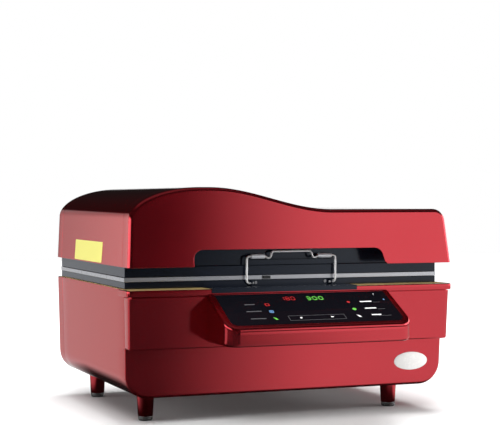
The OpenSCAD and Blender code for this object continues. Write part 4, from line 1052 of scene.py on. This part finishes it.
def digit_bars(text, u, v, width, height, stroke, gap):
    """Seven-segment digits as short bars: each segment is a line of the unit cell made a stroke wide."""
    bars = []
    for k, digit in enumerate(text):
        for segment in DIGITS[digit]:
            ends = np.array(SEGMENTS[segment]) * (width, height) + (u + k * (width + gap), v)
            along = ends[1] - ends[0]
            side = np.array([-along[1], along[0]]) / np.linalg.norm(along) * stroke / 2
            bars.append(np.array([ends[0] - side, ends[1] - side, ends[1] + side, ends[0] + side]))
    return bars


print("digits:", " ".join(DIGITS))

# %% [markdown]
# The keys stand in three rows at the left and the right, each with an icon and a bar beside it. The thin
# grey lines frame them. All marks of one colour are one piece, so that five pieces hold the whole print.

# %% Panel marks
LEFT_U, RIGHT_U = -73.6, 77.3
TOP_V, MIDDLE_V, LOW_V = 71.0, 49.5, 28.0
# left end, right end, middle height and thickness of each bar
WHITE_BARS = [(97.5, 119.0, 72.5, 2.8), (97.5, 119.0, 51.0, 2.8), (101.0, 119.0, 30.0, 2.8)]
GREY_BARS = [
    (-113.0, -95.5, TOP_V + 2, 2.2), (-117.0, -90.5, MIDDLE_V + 2, 2.2), (-117.0, -90.0, LOW_V + 1, 2.2),
    (120.5, 133.0, 69.5, 0.8), (120.5, 134.0, 47.5, 0.8), (104.0, 137.0, 26.5, 0.8),
    (-50.0, 51.0, 34.5, 0.7), (-50.0, 51.0, 20.5, 0.7), (-50.4, -49.7, 27.5, 14.0), (50.7, 51.4, 27.5, 14.0),
]
# text, left, bottom, width, height, stroke and gap of each number
RED_NUMBER = ("180", -43.0, 84.0, 6.0, 10.0, 1.5, 3.6)
GREEN_NUMBER = ("300", 4.0, 83.0, 7.0, 9.5, 1.9, 4.4)
PANEL_MARKS = {
    "red": [*ring_bars(LEFT_U, TOP_V, 3.2), disc(RIGHT_U - 1.5, TOP_V + 1.5, 3.0),
            *digit_bars(*RED_NUMBER)],
    "green": [leaf(LEFT_U, LOW_V, 3.6), disc(RIGHT_U, MIDDLE_V, 3.6),
              *digit_bars(*GREEN_NUMBER)],
    "blue": [*ring_bars(LEFT_U, MIDDLE_V, 3.0, 1.2), disc(LEFT_U, MIDDLE_V, 1.3), disc(145.0, 77.7, 1.6)],
    "white": [leaf(RIGHT_U, LOW_V, 3.6), *(bar(*row) for row in WHITE_BARS), disc(-28.6, 27.8, 1.9),
              bar(25.0, 30.0, 27.8, 2.2), disc(133.0, 96.0, 1.0)],
    "grey": [bar(*row) for row in GREY_BARS],
}
for colour, shapes in PANEL_MARKS.items():
    add_marks("panel_marks_" + colour, shapes, "mark_" + colour)
print("marks:", sum(len(shapes) for shapes in PANEL_MARKS.values()))

# %% [markdown]
# Some parts already have the right shape, with holes, grooves and folds, and only lack the small rounding
# that every real edge has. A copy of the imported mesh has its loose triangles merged, its flat faces joined
# again and its edges bevelled, and stands for the node that it came from.

# %% Rounded copies
COPY_MERGE, FLAT_WITHIN = 2e-6, 0.5
ROUNDED = {
    "base_rear_cover": 1.2, "vacuum_tray": 0.7, "membrane_frame": 1.6, "lid_frame": 0.7, "latch_keeper": 0.4,
    "bail_bracket": 0.35, "deck_plate": 0.3, "hinge_brackets": 0.6, "lid_hinge_leaves": 0.5,
    "membrane_hinge_leaves": 0.4, "cooling_fan_frame": 0.6, "power_inlet": 0.5, "switch_bezel": 0.5,
    "rocker_switch": 0.5, "fan_guard": 0.4, "oven_liner": 0.5, "transformer": 1.5, "pump_bracket": 0.4,
    "vacuum_pump": 1.5, "solenoid_valve": 0.8,
    "membrane_clamp": 0.3, "pull_tab": 0.6, "work_plate": 0.3, "hinge_pins": 0.5,
}
KEEPER = "latch_keeper"
groups = frame["record"]["behaviour"]["bodies"]
body_of = {member: name for name, members in groups.items() for member in members}


def rounded_copy(node, edge, finish=None):
    """A merged copy of a node's mesh with bevelled edges, in the node's place."""
    work = bmesh.new()
    work.from_mesh(nodes[node].data)
    bmesh.ops.remove_doubles(work, verts=work.verts, dist=COPY_MERGE)
    bmesh.ops.dissolve_limit(work, angle_limit=np.radians(FLAT_WITHIN), verts=work.verts, edges=work.edges,
                             delimit={"NORMAL"})
    bmesh.ops.delete(work, geom=[v for v in work.verts if not v.link_faces], context="VERTS")
    mesh = bpy.data.meshes.new(node + "_rounded")
    work.to_mesh(mesh)
    work.free()
    return dress(node + "_rounded", mesh, slot_of[node], body_of[node], [node], finish, edge=edge, smooth=30.0,
                 segments=2, edge_from=40.0)


for node, edge in ROUNDED.items():
    rounded_copy(node, edge, "dark_enamel" if node == KEEPER else None)
print("rounded copies:", len(ROUNDED))

# %% [markdown]
# The bail is one bent wire. Its path is a list of corners, and each corner is replaced by a short arc that
# touches both straight runs. A circle is then carried along the path. Blender's own curve with a round
# section could do it too, but here the bends have the radius that the wire was bent round.

# %% Bent wire
NO_TURN, RUN_SHARE = 1e-3, 0.48


def filleted(points, radius, steps=7):
    """A path with rounded bends: each corner gives way to an arc that starts radius·tan(half turn) away."""
    points = np.asarray(points, dtype=float)
    path = [points[:1]]
    for before, corner, after in zip(points[:-2], points[1:-1], points[2:]):
        incoming, outgoing = corner - before, after - corner
        reach_in, reach_out = np.linalg.norm(incoming), np.linalg.norm(outgoing)
        incoming, outgoing = incoming / reach_in, outgoing / reach_out
        turn = np.arccos(np.clip(incoming @ outgoing, -1, 1))
        if turn < NO_TURN:
            path.append(corner[None])
            continue
        cut = min(radius * np.tan(turn / 2), RUN_SHARE * reach_in, RUN_SHARE * reach_out)
        bend = cut / np.tan(turn / 2)
        toward = (outgoing - incoming) / np.linalg.norm(outgoing - incoming)
        middle = corner + toward * bend / np.cos(turn / 2)
        angle = np.linspace(-turn / 2, turn / 2, steps)[:, None]
        tangent = (incoming + outgoing) / np.linalg.norm(incoming + outgoing)
        path.append(middle - toward * bend * np.cos(angle) + tangent * bend * np.sin(angle))
    path.append(points[-1:])
    return np.concatenate(path)


def tube_grid(path, radius, across, sides=14):
    """Circles along a flat path: centre + radius·(cos a·normal + sin a·across), normal = across × tangent."""
    tangent = np.gradient(path, axis=0)
    tangent /= np.linalg.norm(tangent, axis=1, keepdims=True)
    across = np.asarray(across, dtype=float)
    normal = np.cross(across, tangent)
    angle = np.linspace(0, 2 * np.pi, sides, endpoint=False)
    ring = np.cos(angle)[None, :, None] * normal[:, None] + np.sin(angle)[None, :, None] * across
    return path[:, None] + radius * ring


BAIL_X, BAIL_Y, BAIL_Z, LEG_X, EAR_X, SLEEVE_X, BAR_Z = 6.5, 41.6, 236.2, 83.0, 75.0, 50.0, 282.2
WIRE_R, BEND_R, EAR_OVER = 2.0, 5.0, 4.0
DIP = [(-5.0, -3.0), (-10.0, -3.0), (-14.0, 8.0)]
half_path = [(EAR_X - EAR_OVER, BAIL_Z), (LEG_X, BAIL_Z), (LEG_X, BAR_Z), (SLEEVE_X, BAR_Z),
             *((SLEEVE_X + x, BAR_Z + z) for x, z in DIP)]
right_side = np.array([(BAIL_X + x, BAIL_Y, z) for x, z in half_path])
left_side = np.array([(BAIL_X - x, BAIL_Y, z) for x, z in half_path])
bail_path = filleted(np.concatenate([left_side, right_side[::-1]]), BEND_R)
bail_wire = add_grid(
    "bail_wire", tube_grid(bail_path, WIRE_R, (0, 1, 0)), "chrome", "bail", ["latch_bail"],
    closed=True, caps=("first", "last"),
)
print("bail:", bail_wire.name, "with", len(bail_path), "points in its path")

# %% [markdown]
# Feet and sleeves are turned on a lathe: a profile of radius and height is carried round an axis. Each foot
# is a painted leg that widens upwards, over a grey tip with two fine grooves.

# %% Turned pieces
def turned_grid(profile, centre, axis="z", sides=40):
    """A profile of radius and height turned round an axis: radius·cos a and radius·sin a across it."""
    profile = np.asarray(profile, dtype=float)
    angle = np.linspace(0, 2 * np.pi, sides, endpoint=False)
    radius, height = profile[:, :1], np.broadcast_to(profile[:, 1:], (len(profile), sides))
    first, second = radius * np.cos(angle), radius * np.sin(angle)
    order = {"z": (first, second, height), "x": (height, first, second), "y": (first, height, second)}[axis]
    return np.stack(order, axis=-1) + np.asarray(centre, dtype=float)


FOOT_X, FOOT_YS, TIP_H, TIP_GAP, FOOT_SMOOTH = 233.0, {"front": 120.0, "rear": 431.0}, 8.0, 0.02, 50.0
leg_profile = [(10.0, TIP_H + TIP_GAP), (12.4, TIP_H + TIP_GAP), (13.0, TIP_H + 0.7), (13.15, TIP_H + 3),
               (13.6, 20), (14.2, 30), (14.8, 40), (15.3, 46), (15.5, 48.2), (15.5, Z_FLOOR), (10.0, Z_FLOOR)]
tip_profile = [(9.0, 0.0), (10.4, 0.0), (11.2, 0.5), (12.0, 1.8), (12.5, 2.0), (12.2, 2.5), (12.5, 3.2),
               (12.7, 4.2), (12.3, 4.8), (12.7, 5.4), (12.8, 7.4), (12.2, TIP_H - TIP_GAP),
               (9.0, TIP_H - TIP_GAP)]
SIDES = {"left": -1, "right": 1}
for depth, foot_y in FOOT_YS.items():
    for side, sign in SIDES.items():
        place = (sign * FOOT_X, foot_y, 0.0)
        corner = f"{depth}_{side}"
        add_grid(f"leg_{corner}", turned_grid(leg_profile, place), "red_paint", "base",
                 ["foot_" + corner], closed=True, caps=("first", "last"), smooth=FOOT_SMOOTH)
        add_grid(f"rubber_{corner}", turned_grid(tip_profile, place), "grey_tip", "base",
                 ["tip_" + corner], closed=True, caps=("first", "last"), smooth=FOOT_SMOOTH)
print("feet:", len(FOOT_YS) * len(SIDES))

# %% [markdown]
# The two sleeves are grips that turn freely on the wire, so each is a piece on its own body. Half a profile
# is enough, because a sleeve is the same towards both ends.

# %% Sleeves
HALF_SLEEVE, SLEEVE_SMOOTH, SLEEVE_SIDES = 12.5, 35.0, 28
half_sleeve = [(2.08, HALF_SLEEVE), (3.3, HALF_SLEEVE), (3.8, HALF_SLEEVE - 0.3), (4.0, HALF_SLEEVE - 1.0),
               (4.0, 9.0), (3.8, 8.7), (3.8, 8.2), (4.0, 7.9), (4.0, 0.0)]
sleeve_profile = half_sleeve + [(r, -z) for r, z in half_sleeve[::-1]] + [half_sleeve[0]]
for side, sign in SIDES.items():
    centre = (BAIL_X + sign * (SLEEVE_X + HALF_SLEEVE), BAIL_Y, BAR_Z)
    add_grid(f"bail_sleeve_{side}", turned_grid(sleeve_profile, centre, "x", SLEEVE_SIDES), "aluminium",
             f"{side}_sleeve", ["sleeve_" + side], finish="sleeve_metal", closed=True, smooth=SLEEVE_SMOOTH)
print("sleeve length in millimetres:", 2 * HALF_SLEEVE)

# %% [markdown]
# The badge is a domed oval plate on the lower panel. It could be a squashed sphere, but rings that shrink
# as a cosine while they rise as a sine give it the flat rim and the low dome of a pressed plate.

# %% Badge
DOME_RIM = 0.25
DOME_RISE, DOME_SCALE = (0, 0, 12, 26, 42, 60, 80), (1.0, 1.0, 0.985, 0.95, 0.85, 0.6, 0.2)
BADGE_X, BADGE_Z, BADGE_HALF_X, BADGE_HALF_Z, BADGE_UP, BADGE_GAP = 234.0, 92.0, 33.0, 16.0, 1.6, 0.05


def dome_grid(half_u, half_v, height, place):
    """An oval dome: rings of the ellipse shrink by the scale while the height grows as the sine of the rise."""
    angle = np.linspace(0, 2 * np.pi, 48, endpoint=False)
    rise, scale = np.radians(np.array(DOME_RISE)), np.array(DOME_SCALE)
    level = np.concatenate([[0.0], DOME_RIM + (height - DOME_RIM) * np.sin(rise[1:])])
    u, v = scale[:, None] * half_u * np.cos(angle), scale[:, None] * half_v * np.sin(angle)
    return place(u, v, np.broadcast_to(level[:, None], u.shape))


def on_lower_front(u, v, out):
    """Badge coordinates to the drawing: across, up the leaning panel, and out of it."""
    lean = np.radians(BASE_LEAN)
    y = lower_front_at(BADGE_Z) - v * np.sin(lean) - out * np.cos(lean) - BADGE_GAP
    return np.stack([BADGE_X + u, y, BADGE_Z + v * np.cos(lean) - out * np.sin(lean)], axis=-1)


badge_grid = dome_grid(BADGE_HALF_X, BADGE_HALF_Z, BADGE_UP, on_lower_front)
badge = add_grid("oval_plate", badge_grid, "white_badge", "base", ["oval_badge"],
                 closed=True, caps=("first", "last"), smooth=30)
print("badge:", badge.name)

# %% [markdown]
# A plain yellow film is stuck low on the lid's left side. It is a thin plate that follows the lean of that
# side, because a film that is only a colour in the paint would have no edge to catch the light.

# %% Side film
FILM_Y, FILM_UP, FILM_LONG, FILM_HIGH, FILM_R, FILM_LEVELS = 165.0, 2.0, 184.0, 36.0, 3.0, (0.02, 0.35)


def on_lid_side(u, v, out):
    """Film coordinates to the drawing: along the lid's left side, up its lean, and out of it."""
    lean = np.radians(LID_TAPER)
    z = Z_LID + FILM_UP + v * np.cos(lean) + out * np.sin(lean)
    x = -lid_half_width(Z_LID + FILM_UP) + v * np.sin(lean) - out * np.cos(lean)
    return np.stack([x, FILM_Y + u, z], axis=-1)


film_loop = rounded_loop(0.0, FILM_LONG, 0.0, FILM_HIGH, FILM_R)
film_rows = [on_lid_side(*film_loop.T, np.full(len(film_loop), level)) for level in FILM_LEVELS]
film = add_grid("side_film", film_rows, "yellow_label", "lid", ["side_label"],
                closed=True, caps=("first", "last"), smooth=30)
print("side film:", film.name)
